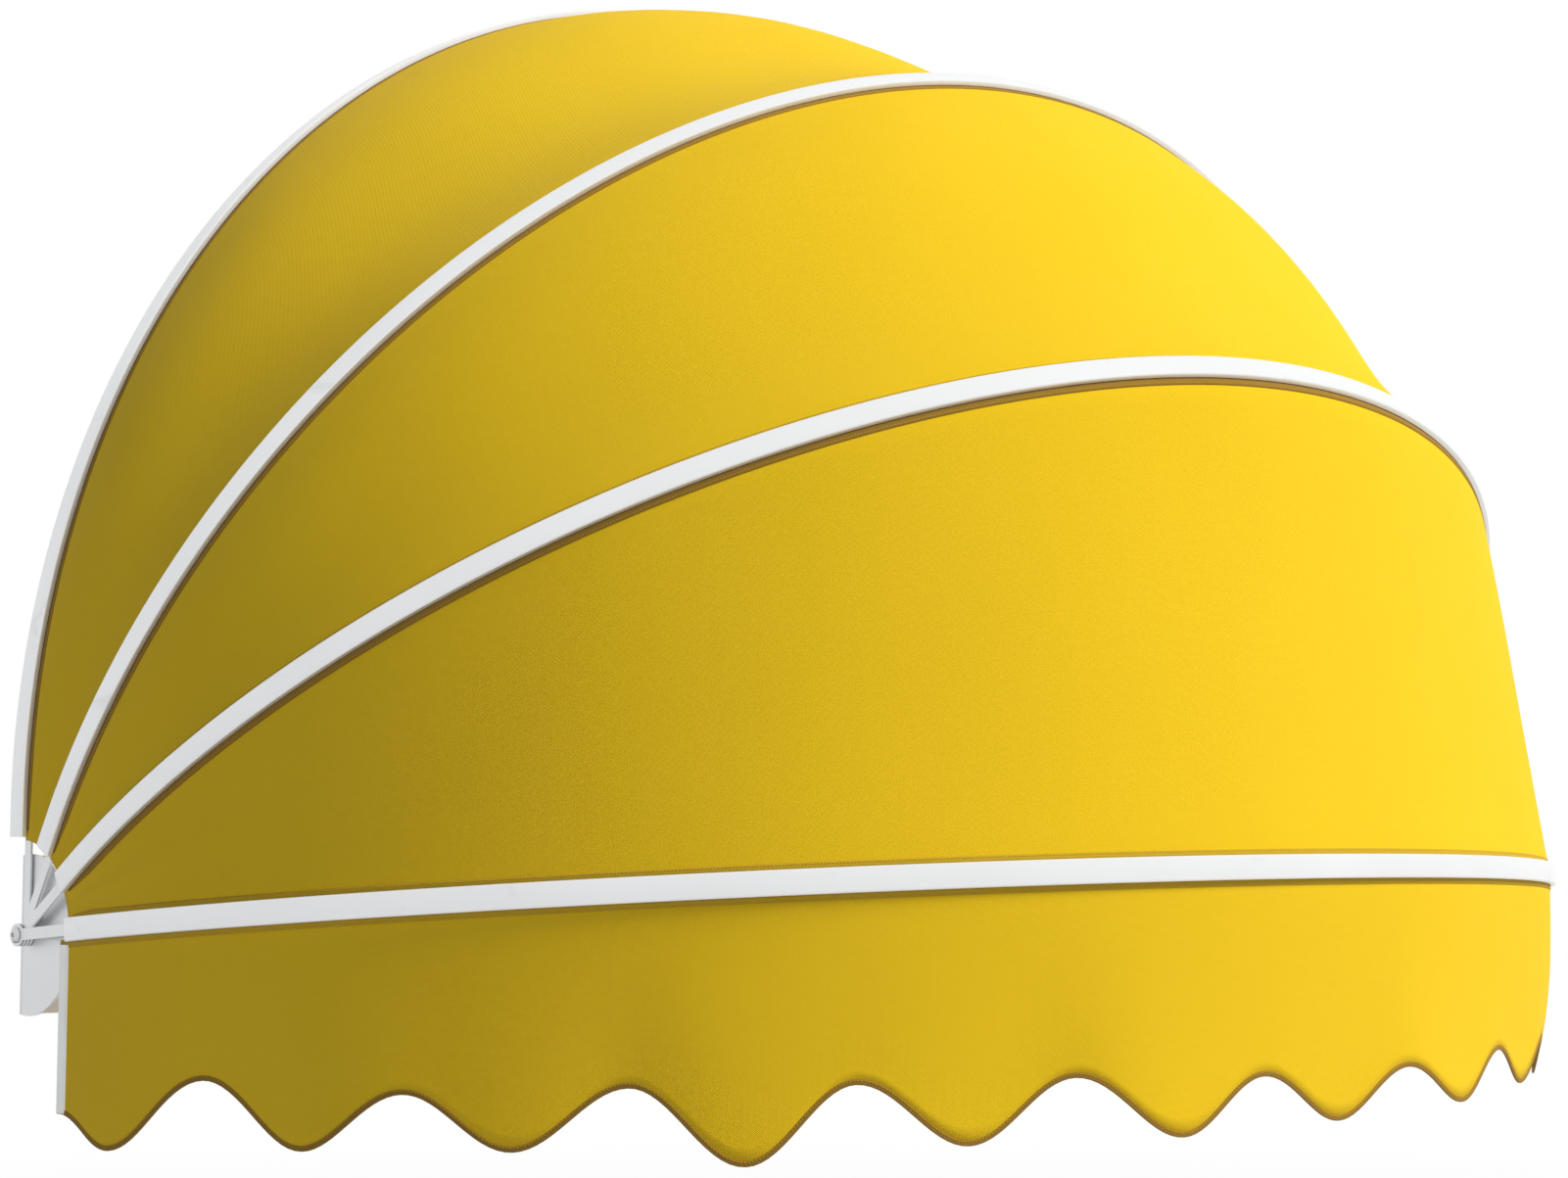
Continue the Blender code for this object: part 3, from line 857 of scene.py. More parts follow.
def rod(name: str, centre: Vector, direction: Vector, radius: float, length: float) -> Object:
    """Round rod about a centre, used to drill.

    Args:
        name: Name of the object.
        centre: Its middle.
        direction: Direction of its axis.
        radius: Its radius.
        length: Its length.

    Returns:
        The rod.
    """
    bm = bmesh.new()
    bmesh.ops.create_cone(bm, cap_ends=True, segments=40, radius1=radius, radius2=radius, depth=length)
    bm.transform(Matrix.Translation(centre) @ direction.to_track_quat("Z", "Y").to_matrix().to_4x4())
    return new_object(name, mesh_from(bm, name))


def frame_at(place: Vector, across: Vector, up: Vector) -> Matrix:
    """Frame at a place from its X axis and its Y axis."""
    turn = Matrix((across, up, across.cross(up))).transposed().to_4x4()
    return Matrix.Translation(place) @ turn


def end_geometry(graph: Graph, result: Node, shape: NodeSocket, surface: NodeSocket) -> NodeTree:
    """End a geometry node group with plain mesh in its material.

    Args:
        graph: Graph of the group.
        result: Its output node.
        shape: What it has made.
        surface: Its material.

    Returns:
        The group.
    """
    plain = graph.add("GeometryNodeRealizeInstances", {"Geometry": shape})
    graph.fill(result, {0: graph.add("GeometryNodeSetMaterial", {"Geometry": plain, "Material": surface})})
    return graph.tree


@cache
def bow_tree() -> NodeTree:
    """Sweep a section up one leg, round the bend and down the other leg.

    Returns:
        The geometry node group.
    """
    graph, given, result = new_group(
        "bow_sweep",
        "Geometry",
        {"Section": "Geometry", "Radius": 1.0, "Leg": 0.13, "Start": 0.1, "Stretch": 0.0, "Bend Steps": 160,
         "Surface": "Material"},
        ("Bow",),
    )
    steps, radius, leg = given["Bend Steps"], given["Radius"], given["Leg"]
    index = graph.add("GeometryNodeInputIndex")
    turn = graph.math("MULTIPLY", graph.math("DIVIDE", graph.math("SUBTRACT", index, 1.0), steps, clamp=True), math.pi)
    x = graph.math("MULTIPLY", graph.math("COSINE", turn), graph.math("MULTIPLY", radius, -1.0))
    first = graph.math("LESS_THAN", index, 0.5)
    last = graph.math("GREATER_THAN", index, graph.math("ADD", steps, 1.5))
    drop = graph.math("MULTIPLY", graph.math("ADD", first, last), graph.math("SUBTRACT", leg, given["Start"]))
    depth = graph.math("ADD", radius, given["Stretch"])
    reach = graph.math("MULTIPLY_ADD", graph.math("SINE", turn), depth, graph.math("SUBTRACT", leg, drop))
    line = graph.add("GeometryNodeMeshLine", {"Count": graph.math("ADD", steps, 3.0)})
    place = graph.add("ShaderNodeCombineXYZ", {0: x, 1: 0.0, 2: reach})
    bent = graph.add("GeometryNodeSetPosition", {"Geometry": line, "Position": place})
    path = graph.add("GeometryNodeMeshToCurve", {"Mesh": bent})
    section = graph.add("GeometryNodeMeshToCurve", {"Mesh": given["Section"]})
    swept = graph.add("GeometryNodeCurveToMesh", {"Curve": path, "Profile Curve": section})
    return end_geometry(graph, result, swept, given["Surface"])


@cache
def stitch_tree() -> NodeTree:
    """A row of stitches along a line on cloth.

    Returns:
        The geometry node group.
    """
    graph, given, result = new_group(
        "stitch_row",
        "Geometry",
        {"Line": "Geometry", "Pitch": 0.0036, "Length": 0.0028, "Thickness": 0.0007, "Surface": "Material"},
        ("Stitches",),
    )
    path = graph.add("GeometryNodeMeshToCurve", {"Mesh": given["Line"]})
    spaced = graph.add("GeometryNodeResampleCurve", {"Curve": path, "Length": given["Pitch"]}, mode="LENGTH")
    tangent = graph.add("GeometryNodeInputTangent")
    normal = graph.add("GeometryNodeInputNamedAttribute", {"Name": SURFACE_NORMAL}, data_type="FLOAT_VECTOR")
    axes = {"Primary Axis": tangent, "Secondary Axis": normal}
    turn = graph.add("FunctionNodeAxesToRotation", axes, primary_axis="X", secondary_axis="Z")
    size = graph.add("ShaderNodeCombineXYZ", {0: given["Length"], 1: given["Thickness"], 2: given["Thickness"]})
    ball = graph.add("GeometryNodeMeshUVSphere", {"Segments": 6, "Rings": 4, "Radius": 0.5})
    stitch = graph.add("GeometryNodeSetShadeSmooth", {"Geometry": ball})
    placed = graph.add(
        "GeometryNodeInstanceOnPoints", {"Points": spaced, "Instance": stitch, "Rotation": turn, "Scale": size}
    )
    return end_geometry(graph, result, placed, given["Surface"])


@cache
def screw_tree() -> NodeTree:
    """A screw at each point, turned to the point's axis.

    Returns:
        The geometry node group.
    """
    graph, given, result = new_group(
        "screw_set", "Geometry", {"Points": "Geometry", "Screw": "Object", "Surface": "Material"}, ("Screws",)
    )
    axis = graph.add("GeometryNodeInputNamedAttribute", {"Name": POINT_AXIS}, data_type="FLOAT_VECTOR")
    turn = graph.add("FunctionNodeAlignRotationToVector", {"Vector": axis}, axis="Z")
    shape = graph.add("GeometryNodeObjectInfo", {"Object": given["Screw"]}, out="Geometry")
    points = graph.add("GeometryNodeMeshToPoints", {"Mesh": given["Points"]})
    placed = graph.add("GeometryNodeInstanceOnPoints", {"Points": points, "Instance": shape, "Rotation": turn})
    return end_geometry(graph, result, placed, given["Surface"])


def grown(name: str, mesh: Mesh, tree: NodeTree, values: dict) -> Mesh:
    """Run a mesh through a geometry node group.

    Args:
        name: Name of the result.
        mesh: Mesh that goes in.
        tree: The group.
        values: Values by input name.

    Returns:
        The plain mesh that comes out.
    """
    thing = new_object(name, mesh)
    modifier = thing.modifiers.new(name, "NODES")
    modifier.node_group = tree
    for item in tree.interface.items_tree:
        if item.item_type == "SOCKET" and item.in_out == "INPUT" and item.name in values:
            modifier[item.identifier] = values[item.name]
    made = baked(thing)
    made.name = name
    return made


def line_mesh(name: str, line: Line, attribute: str, joined: bool = True) -> Mesh:
    """Mesh of one line or of loose points, each with a direction.

    Args:
        name: Name of the mesh.
        line: Pairs of point and direction.
        attribute: Attribute that keeps the directions.
        joined: Whether the points are joined by edges.

    Returns:
        The mesh.
    """
    edges = [(i, i + 1) for i in range(len(line) - 1)] if joined else []
    mesh = bpy.data.meshes.new(name)
    mesh.from_pydata([point for point, _ in line], edges, [])
    return keep_vectors(mesh, attribute, (way for _, way in line))


def stitches(name: str, line: Line, finish: ThreadFinish, body: Body) -> None:
    """Row of stitches along a line of (point, surface normal), as one piece."""
    mesh = grown(name, line_mesh(name, line, SURFACE_NORMAL), stitch_tree(), {"Surface": finish.material()})
    published(new_object(name, mesh), finish, body)


@dataclass(frozen=True)
class Hood:
    """Lines that all hoops and cloths share, in metres and degrees."""

    radius: float = 1.000
    leg: float = 0.130
    start: float = 0.103
    face: float = 0.025
    depth: float = 0.020
    wall: float = 0.002
    groove_middle: float = 0.0080
    groove_mouth: float = 0.0036
    groove_depth: float = 0.0040
    groove_wall: float = 0.0020
    gap: float = 0.0003
    hinge_out: float = 0.0158
    hinge_drop: float = 1.167
    cloth_hem: float = 0.0030
    cloth_lip: float = 0.0015
    cloth_thickness: float = 0.0014
    fold_radius: float = 0.64
    closed_angle: float = 15.5
    foot_steps: int = 3

    @property
    def axis(self) -> Vector:
        """Hinge axis at the middle of the hood."""
        return Vector((0, -self.hinge_out, -self.hinge_drop))

    @property
    def half_face(self) -> float:
        """Half the width of a bow's face."""
        return self.face / 2

    @property
    def groove_radius(self) -> float:
        """Radius at which the cloth enters the bows."""
        return self.radius - self.groove_middle

    @property
    def inner_radius(self) -> float:
        """Radius of the bows' inner face."""
        return self.radius - self.depth

    @property
    def link_room(self) -> float:
        """Half the width of the hollow in a bow."""
        return self.half_face - self.groove_depth - self.groove_wall

    def along(self, angle: float) -> Vector:
        """Direction out from the axis along a bow at an angle."""
        turn = math.radians(angle)
        return Vector((0, -math.cos(turn), math.sin(turn)))

    def across(self, angle: float) -> Vector:
        """Direction square to a bow's plane, towards the wall side."""
        turn = math.radians(angle)
        return Vector((0, math.sin(turn), math.cos(turn)))

    def place(self, angle: float, x: float, reach: float, offset: float = 0.0) -> Vector:
        """Point near a bow's plane.

        Args:
            angle: Angle of the bow.
            x: Place across the room.
            reach: Distance out from the axis.
            offset: Distance off the plane, towards the wall side.

        Returns:
            The point.
        """
        return self.axis + Vector((x, 0, 0)) + self.along(angle) * reach + self.across(angle) * offset

    def cloth_length(self, start: float) -> float:
        """Length of the cloth's line from leg end to leg end, as on a round bend."""
        return math.pi * self.groove_radius + 2 * (self.leg - start)

    def cloth_runs(self, start: float, bend_steps: int) -> list[float]:
        """Runs along the legs and the bend of the cloth's line.

        Args:
            start: Distance of the leg ends from the axis.
            bend_steps: Steps in the bend.

        Returns:
            The runs, both ends among them.
        """
        leg = self.leg - start
        foot = [leg * step / self.foot_steps for step in range(self.foot_steps)]
        bend = [leg + math.pi * self.groove_radius * step / bend_steps for step in range(bend_steps + 1)]
        total = self.cloth_length(start)
        return [*foot, *bend, *(total - run for run in reversed(foot))]


HOOD = Hood()


@dataclass(frozen=True)
class HoopPlan:
    """Where one hoop stands, how deep it is and what moves it."""

    name: str
    angle: float
    body: Body
    layer: int
    stretch: float

    @property
    def bow(self) -> str:
        """Name of the bow's piece."""
        return self.name + "_bow_tube"

    def cloth_line(self, start: float, run: float) -> tuple[float, float, float, float]:
        """Place and outward direction after a run along the line where cloth enters the bow.

        Args:
            start: Distance of the line's ends from the axis.
            run: Length run from its left end, as on a round bend.

        Returns:
            x, reach, and the x and reach parts of the outward direction.
        """
        radius, leg, length = HOOD.groove_radius, HOOD.leg - start, HOOD.cloth_length(start)
        if run <= leg:
            return -radius, start + run, -1.0, 0.0
        if run >= length - leg:
            return radius, start + length - run, 1.0, 0.0
        turn, depth = (run - leg) / radius, radius + self.stretch
        out_x, out_reach = -depth * math.cos(turn), radius * math.sin(turn)
        size = math.hypot(out_x, out_reach)
        return -radius * math.cos(turn), HOOD.leg + depth * math.sin(turn), out_x / size, out_reach / size


REAR = HoopPlan("rear", 90.0, Body.WALL, 0, 0.047)
UPPER = HoopPlan("upper", 59.0, Body.UPPER, 1, 0.010)
MIDDLE = HoopPlan("middle", 32.5, Body.MIDDLE, 2, -0.015)
FRONT = HoopPlan("front", 4.0, Body.FRONT, 3, -0.085)
HOOPS = (REAR, UPPER, MIDDLE, FRONT)


@dataclass(frozen=True)
class HingePlan:
    """Layers of a hinge stack, from the wall bracket outwards."""

    link_thickness: float = 0.0025
    link_eye: float = 0.012
    link_screw_inset: float = 0.013
    washer_thickness: float = 0.0007
    pivot_radius: float = 0.0040
    bracket_thickness: float = 0.003

    @property
    def bore(self) -> float:
        """Radius of the holes that the pivot bolt goes through."""
        return self.pivot_radius + HOOD.gap

    @property
    def pitch(self) -> float:
        """Distance from one link to the next."""
        return self.link_thickness + self.washer_thickness + 2 * HOOD.gap

    @property
    def base(self) -> float:
        """Inner face of the first link."""
        return HOOD.inner_radius + HOOD.wall + HOOD.gap

    @property
    def height(self) -> float:
        """Height of the whole stack of links."""
        return self.link_thickness + (len(HOOPS) - 1) * self.pitch

    @property
    def cheek_outer(self) -> float:
        """Outer face of the wall bracket's cheek."""
        return self.base - self.washer_thickness - 2 * HOOD.gap

    @property
    def cheek_inner(self) -> float:
        """Inner face of the wall bracket's cheek."""
        return self.cheek_outer - self.bracket_thickness

    @property
    def screw_reach(self) -> float:
        """Distance of a link's screw from the axis."""
        return HOOD.start + self.link_screw_inset

    def link_inner(self, layer: int) -> float:
        """Inner face of the link in a layer."""
        return self.base + layer * self.pitch


HINGE = HingePlan()


def spread(side: Side, inner: float, thickness: float) -> tuple[float, float]:
    """Lower and higher x of a layer that lies from inner outwards on a side."""
    return (inner, inner + thickness) if side is Side.RIGHT else (-inner - thickness, -inner)


def domed(radius: float, height: float, rim: float, angles: Iterable[float]) -> Profile:
    """Profile of a domed head, from its top down to its rim.

    Args:
        radius: Its radius.
        height: Its height; below zero where it points down.
        rim: Share of the height that stands upright at the rim.
        angles: Angles above the rim in degrees, the highest one first.

    Returns:
        The profile.
    """
    turns = map(math.radians, angles)
    return [(radius * math.cos(turn), height * (rim + (1 - rim) * math.sin(turn))) for turn in turns]


@dataclass
class PanScrew:
    """Small pan head screw with a cross recess; its seat is at z = 0 and its tip points to +Z."""

    shank: float = 0.0020
    root: float = 0.82
    tip: float = 0.7
    thread_pitch: float = 0.0008
    head: float = 0.0040
    head_height: float = 0.0020
    rim: float = 0.35
    recess_width: float = 0.0009
    recess_reach: float = 0.0019
    recess_depth: float = 0.0012

    def source(self, name: str, length: float) -> Object:
        """Make the screw that the points carry.

        Args:
            name: Name of the object.
            length: Length below the head.

        Returns:
            The screw.
        """
        count = int(length / self.thread_pitch)
        thread = [
            (self.shank * (self.root if step % 2 else 1.0), length * step / count) for step in range(1, count)
        ]
        dome = domed(self.head, -self.head_height, self.rim, range(75, -1, -15))
        profile = [(0.0, -self.head_height), *dome, (self.head, 0.0), (self.shank, 0.0), *thread,
                   (self.shank * self.tip, length), (0.0, length)]
        screw = new_object(name, turned(name, profile, 24))
        low, deep = -self.head_height * 1.2, -self.head_height + self.recess_depth
        reach, half = self.recess_reach, self.recess_width / 2
        tools = [
            box(name + "_cut", Vector((-wide, -tall, low)), Vector((wide, tall, deep)))
            for wide, tall in ((reach, half), (half, reach))
        ]
        return shaped(screw, tools)

    def set_of(self, name: str, points: Line, length: float, body: Body, replaces: Iterable[str]) -> None:
        """Place screws at points.

        Args:
            name: Name of the piece.
            points: Seat and direction of the tip for each.
            length: Length below the head.
            body: Body that they ride on.
            replaces: Nodes of the frame that they stand for.
        """
        source = self.source(name + "_source", length)
        mesh = line_mesh(name, points, POINT_AXIS, joined=False)
        made = grown(name, mesh, screw_tree(), {"Screw": source, "Surface": FASTENER_STEEL.material()})
        bpy.data.objects.remove(source)
        published(new_object(name, smooth(made)), FASTENER_STEEL, body, replaces)


@dataclass
class Hoop:
    """One bow with its links and their screws."""

    plan: HoopPlan
    corner: float = 0.0020
    inner_corner: float = 0.0008
    bend_steps: int = 160
    bow_angle: float = 30.0
    link_end: float = 0.1579
    link_edge: float = 0.0004

    def outline(self) -> Outline:
        """Outer outline of the bow's section, with a groove on each side.

        Returns:
            Points (offset across, depth below the outer face).
        """
        half, depth, edge, foot = HOOD.half_face, HOOD.depth, self.corner, self.inner_corner
        top = HOOD.groove_middle - HOOD.groove_mouth / 2
        low, floor = top + HOOD.groove_mouth, half - HOOD.groove_depth
        corner = [(half - edge + x, edge - y) for x, y in arc((0, 0), edge, 90, 0, 4)]
        heel = [(half - foot + x, depth - foot - y) for x, y in arc((0, 0), foot, 0, -90, 3)]
        side = [*corner, (half, top), (floor, top), (floor, low), (half, low), *heel]
        return side + [(-x, y) for x, y in reversed(side)]

    def hollow(self) -> Outline:
        """Outline of the hollow inside the section, as (offset across, depth below the outer face)."""
        section = rounded_section(2 * HOOD.link_room, HOOD.depth - 2 * HOOD.wall, self.inner_corner, 2)
        return [(x, HOOD.depth / 2 + y) for x, y in section]

    def turn(self) -> Matrix:
        """Frame of the hoop's plane: X across the room, Y off the plane, Z out from the axis."""
        return Matrix.Translation(HOOD.axis) @ Matrix.Rotation(math.radians(90 - self.plan.angle), 4, "X")

    def build_bow(self) -> None:
        """Sweep the bow and close its cut ends round the hollow."""
        name = self.plan.bow
        mesh = bpy.data.meshes.new(name)
        points, edges = [], []
        for loop in (self.outline(), self.hollow()):
            first = len(points)
            points += [(depth, offset, 0.0) for offset, depth in loop]
            edges += [(first + i, first + (i + 1) % len(loop)) for i in range(len(loop))]
        mesh.from_pydata(points, edges, [])
        values = {"Radius": HOOD.radius, "Leg": HOOD.leg, "Start": HOOD.start, "Stretch": self.plan.stretch,
                  "Bend Steps": self.bend_steps, "Surface": BOW_COAT.material()}
        bm = bmesh.new()
        bm.from_mesh(grown(name, mesh, bow_tree(), values))
        bmesh.ops.remove_doubles(bm, verts=bm.verts, dist=MERGE)
        rims = [edge for edge in bm.edges if edge.is_boundary]
        for side in Side:
            rim = [edge for edge in rims if edge.verts[0].co.x * side.value > 0]
            bmesh.ops.triangle_fill(bm, edges=rim, use_beauty=True)
        bm.transform(self.turn())
        bow = new_object(name, smooth(mesh_from(bm, name), self.bow_angle))
        published(bow, BOW_COAT, self.plan.body, [self.plan.name + "_bow"])

    def build_links(self) -> None:
        """Make the two flat links that carry the bow on its pivots."""
        half = HOOD.link_room - HOOD.gap
        root = math.degrees(math.asin(half / HINGE.link_eye))
        loops = [
            [*arc((0, 0), HINGE.link_eye, 90 + root, 450 - root, 40), (half, self.link_end), (-half, self.link_end)],
            circle((0, 0), HINGE.bore),
            circle((0, HINGE.screw_reach), SCREW_HOLE, 24),
        ]
        for side in Side:
            node = f"{self.plan.name}_link_{side.label}"
            low, high = spread(side, HINGE.link_inner(self.plan.layer), HINGE.link_thickness)
            link = plate(node + "_bar", loops, low, high)
            link.data.transform(self.turn())
            published(bevelled(link, self.link_edge), LINK_COAT, self.plan.body, [node])

    def build_screws(self) -> None:
        """Screw the links into the bow's legs."""
        points = []
        for side in Side:
            seat = HOOD.place(self.plan.angle, side.value * (HOOD.inner_radius - HOOD.gap), HINGE.screw_reach)
            points.append((seat, Vector((side.value, 0, 0))))
        tip = HINGE.link_inner(self.plan.layer) + HINGE.link_thickness + HOOD.gap
        name = self.plan.name + "_link_screw"
        length = tip - HOOD.inner_radius + HOOD.gap
        PanScrew().set_of(name + "s", points, length, self.plan.body, [f"{name}_{side.label}" for side in Side])

    def build(self) -> None:
        """Build the hoop's rigid pieces."""
        self.build_bow()
        self.build_links()
        self.build_screws()


@dataclass(frozen=True)
class HemPlan:
    """How a hem, or the dark strip of painted bow shadow, lies on the cloth beside a bow."""

    finish: ClothFinish
    width: float
    seam: float
    tuck: float = 0.001
    thickness: float = 0.0024
    stitch_rise: float = 0.00135
    steps: int = 3
    crowding: float = 0.44
    groove_place: float = -0.003

    def shares(self, wide: float) -> list[float]:
        """Shares of the cloth at the points across the hem, where the whole hem takes a share."""
        return [wide * step / self.steps for step in range(self.steps + 1)]

    def build(self, name: str, rows: Rows, line: Line, body: Body) -> Object:
        """Make the hem and its stitches, which end just short of the corners.

        Args:
            name: Name of the hem's piece.
            rows: Rows of the hem, as for grid_sheet.
            line: Line of the stitches.
            body: Body that it rides on.

        Returns:
            The hem.
        """
        hem = published(solidified(grid_sheet(name, rows), self.thickness), self.finish, body)
        stitches(name.replace("hem", "stitches"), line[2:-2], THREAD, body)
        return hem


# Size, radians per metre of run, radians across the cloth and phase of its slight waves.
PANEL_WAVES = ((1.0, 9.0, 4.0, 0.0), (0.6, 23.0, -5.0, 1.3))
VALANCE_WAVES = ((1.0, 15.7, 0.0, 0.0), (0.5, 31.0, 0.0, 0.8))


def waves(terms: Sequence[tuple[float, ...]], run: float, share: float) -> float:
    """Sum of sine waves at a run along a cloth and a share of the way across it."""
    return sum(size * math.sin(by_run * run + by_share * share + phase) for size, by_run, by_share, phase in terms)


# The folded hems and the valance's top hem take the darker canvas, painted shade at the groove
FOLDED_HEM = HemPlan(PAINTED_SHADE_HEM_CANVAS, 0.0042, 0.62)
# Dark ochre strip under each bow: painted shadow that the bow casts on the cloth
PAINTED_SHADOW_HEM = HemPlan(EDGE_BINDING_AND_PAINTED_SHADOW, 0.0060, 0.62)
VALANCE_HEM = HemPlan(PAINTED_SHADE_HEM_CANVAS, 0.0045, 0.0028 / 0.0045)


@dataclass
class HoodPanel:
    """Cloth between two bows: one curved sheet with a hem in each bow's groove."""

    name: str
    upper: HoopPlan
    lower: HoopPlan
    start: float = 0.099
    bend_steps: int = 168
    bays: int = 18
    bulge: float = 0.0
    sway: float = 0.0
    ripple: float = 0.0007
    gather: float = 0.0012
    gather_folds: float = 2.5
    gather_reach: float = 0.16
    gather_foot: float = 0.03
    round_cut: float = 0.024
    hem_allowance: float = 0.004

    @property
    def total(self) -> float:
        """Nominal length along the bows, as on a round bend."""
        return HOOD.cloth_length(self.start)

    def runs(self) -> list[float]:
        """Runs of the cloth's rows."""
        return HOOD.cloth_runs(self.start, self.bend_steps)

    def span(self, run: float) -> float:
        """Length of cloth across the bay at a run, from lip to lip."""
        return path_length([self.point(run, bay / self.bays) for bay in range(self.bays + 1)])

    def flat_size(self) -> tuple[float, float]:
        """Length along the longer edge and greatest width with the hems, laid flat."""
        length = max(path_length([self.point(run, share) for run in self.runs()]) for share in (0.0, 1.0))
        return length, max(map(self.span, self.runs())) + 2 * (HOOD.cloth_lip + HOOD.cloth_hem)

    def lift(self, run: float, share: float) -> float:
        """How far the cloth stands off the straight line between the bows.

        Args:
            run: Run along the bows.
            share: Share of the way from the lower bow to the upper bow.

        Returns:
            The distance outwards; below zero where it sags.
        """
        crown = math.sin(math.pi * min(max(run / self.total, 0.0), 1.0))
        belly = 4 * share * (1 - share)
        full_above = -math.sin(math.tau * share) * crown
        from_end = min(run, self.total - run)
        near_hub = math.exp(-from_end / self.gather_reach) - math.exp(-from_end / self.gather_foot)
        folds = math.sin(math.tau * self.gather_folds * share + 1.0) * near_hub
        ripple = self.ripple * waves(PANEL_WAVES, run, share)
        slack = belly * ((self.bulge + ripple) * crown + self.gather * folds)
        return slack + self.sway * full_above

    def point(self, run: float, share: float) -> Vector:
        """Point on the cloth's middle surface between the two lips, which ends in a round cut at the hinges.

        Args:
            run: Run along the bows.
            share: Share of the way from the lower bow to the upper bow.

        Returns:
            The point.
        """
        x, low_reach, out_x, out_reach = self.lower.cloth_line(self.start, run)
        high_reach = self.upper.cloth_line(self.start, run)[1]
        lip = HOOD.half_face + HOOD.cloth_lip
        low = HOOD.place(self.lower.angle, x, low_reach, lip)
        high = HOOD.place(self.upper.angle, x, high_reach, -lip)
        angle = self.lower.angle + (self.upper.angle - self.lower.angle) * share
        outward = Vector((out_x, 0, 0)) + HOOD.along(angle) * out_reach
        point = low.lerp(high, share) + outward * self.lift(run, share)
        end = max(0.0, 1 - min(run, self.total - run) / self.round_cut)
        if end > 0:
            spoke = (point - HOOD.axis).yz
            rim = spoke * ((low - HOOD.axis).yz.length / spoke.length)
            point = point.lerp(Vector((point.x, HOOD.axis.y + rim.x, HOOD.axis.z + rim.y)), end)
        return point

    def build_sheet(self) -> Object:
        """Make the panel.

        Returns:
            The panel.
        """
        hem, extra = HOOD.half_face - HOOD.cloth_hem, self.hem_allowance
        rows = []
        for run in self.runs():
            x, low_reach, _, _ = self.lower.cloth_line(self.start, run)
            high_reach = self.upper.cloth_line(self.start, run)[1]
            span = self.span(run)
            shares = [bay / self.bays for bay in range(self.bays + 1)]
            rows.append([
                (HOOD.place(self.lower.angle, x, low_reach, hem), (run, -span / 2 - extra)),
                *((self.point(run, share), (run, span * (share - 0.5))) for share in shares),
                (HOOD.place(self.upper.angle, x, high_reach, -hem), (run, span / 2 + extra)),
            ])
        return grid_sheet(self.name + "_panel", rows)

    def build_hem(self, plan: HoopPlan) -> Object:
        """Make the hem beside one bow: on the upper edge a dark strip painted as the bow's shadow, and a folded hem on
        the lower one.

        It narrows near the hinges, where the folded bows stand close.

        Args:
            plan: The bow that it lies beside.

        Returns:
            The hem.
        """
        from_low = plan is self.lower
        # On the upper edge the strip is painted bow shadow; on the lower edge a folded hem
        hem, way = (FOLDED_HEM, 1) if from_low else (PAINTED_SHADOW_HEM, -1)
        rows, line = [], []
        for run in self.runs()[1:-1]:
            x, reach, out_x, out_reach = plan.cloth_line(self.start, run)
            room = reach * math.radians(HOOD.closed_angle) - 2 * (HOOD.half_face + HOOD.cloth_lip)
            wide = min(hem.width, hem.crowding * room) / self.span(run)
            groove = HOOD.place(plan.angle, x, reach, way * (HOOD.half_face - hem.tuck))
            across = zip(hem.shares(wide), hem.shares(hem.width))
            row = [(groove, (run, hem.groove_place))]
            row += [(self.point(run, share if from_low else 1 - share), (run, along)) for share, along in across]
            rows.append(row[::way])
            seam = wide * hem.seam
            outward = (Vector((out_x, 0, 0)) + HOOD.along(plan.angle) * out_reach).normalized()
            line.append((self.point(run, seam if from_low else 1 - seam) + outward * hem.stitch_rise, outward))
        return hem.build(f"{self.name}_hem_{plan.name}", rows, line, plan.body)

    def build(self) -> None:
        """Build the panel, its hems and its stitches; the panel rides on no body."""
        sheet = self.build_sheet()
        total, width = self.flat_size()
        published(solidified(sheet, HOOD.cloth_thickness), CANVAS, None, [self.name + "_cloth"])
        fold = HOOD.fold_radius
        HOOD.place(self.upper.angle, 0, fold)
        HOOD.place(self.lower.angle, 0, fold)
        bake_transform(sheet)
        hems = [self.build_hem(self.upper), self.build_hem(self.lower)]


# Run and drop of each notch and tip of the scalloped edge, in metres, from the left end.
SCALLOP_TURNS = (
    (0.103, 0.224), (0.252, 0.158), (0.387, 0.229), (0.502, 0.179), (0.621, 0.237),
    (0.735, 0.183), (0.851, 0.260), (0.958, 0.190), (1.072, 0.253), (1.183, 0.195),
    (1.303, 0.258), (1.406, 0.205), (1.516, 0.255), (1.627, 0.206), (1.738, 0.248),
    (1.843, 0.197), (1.930, 0.237), (2.055, 0.190), (2.180, 0.235), (2.310, 0.185),
    (2.440, 0.232), (2.555, 0.182), (2.670, 0.230), (2.780, 0.178), (2.890, 0.227),
    (2.998, 0.160), (3.105, 0.224),
)


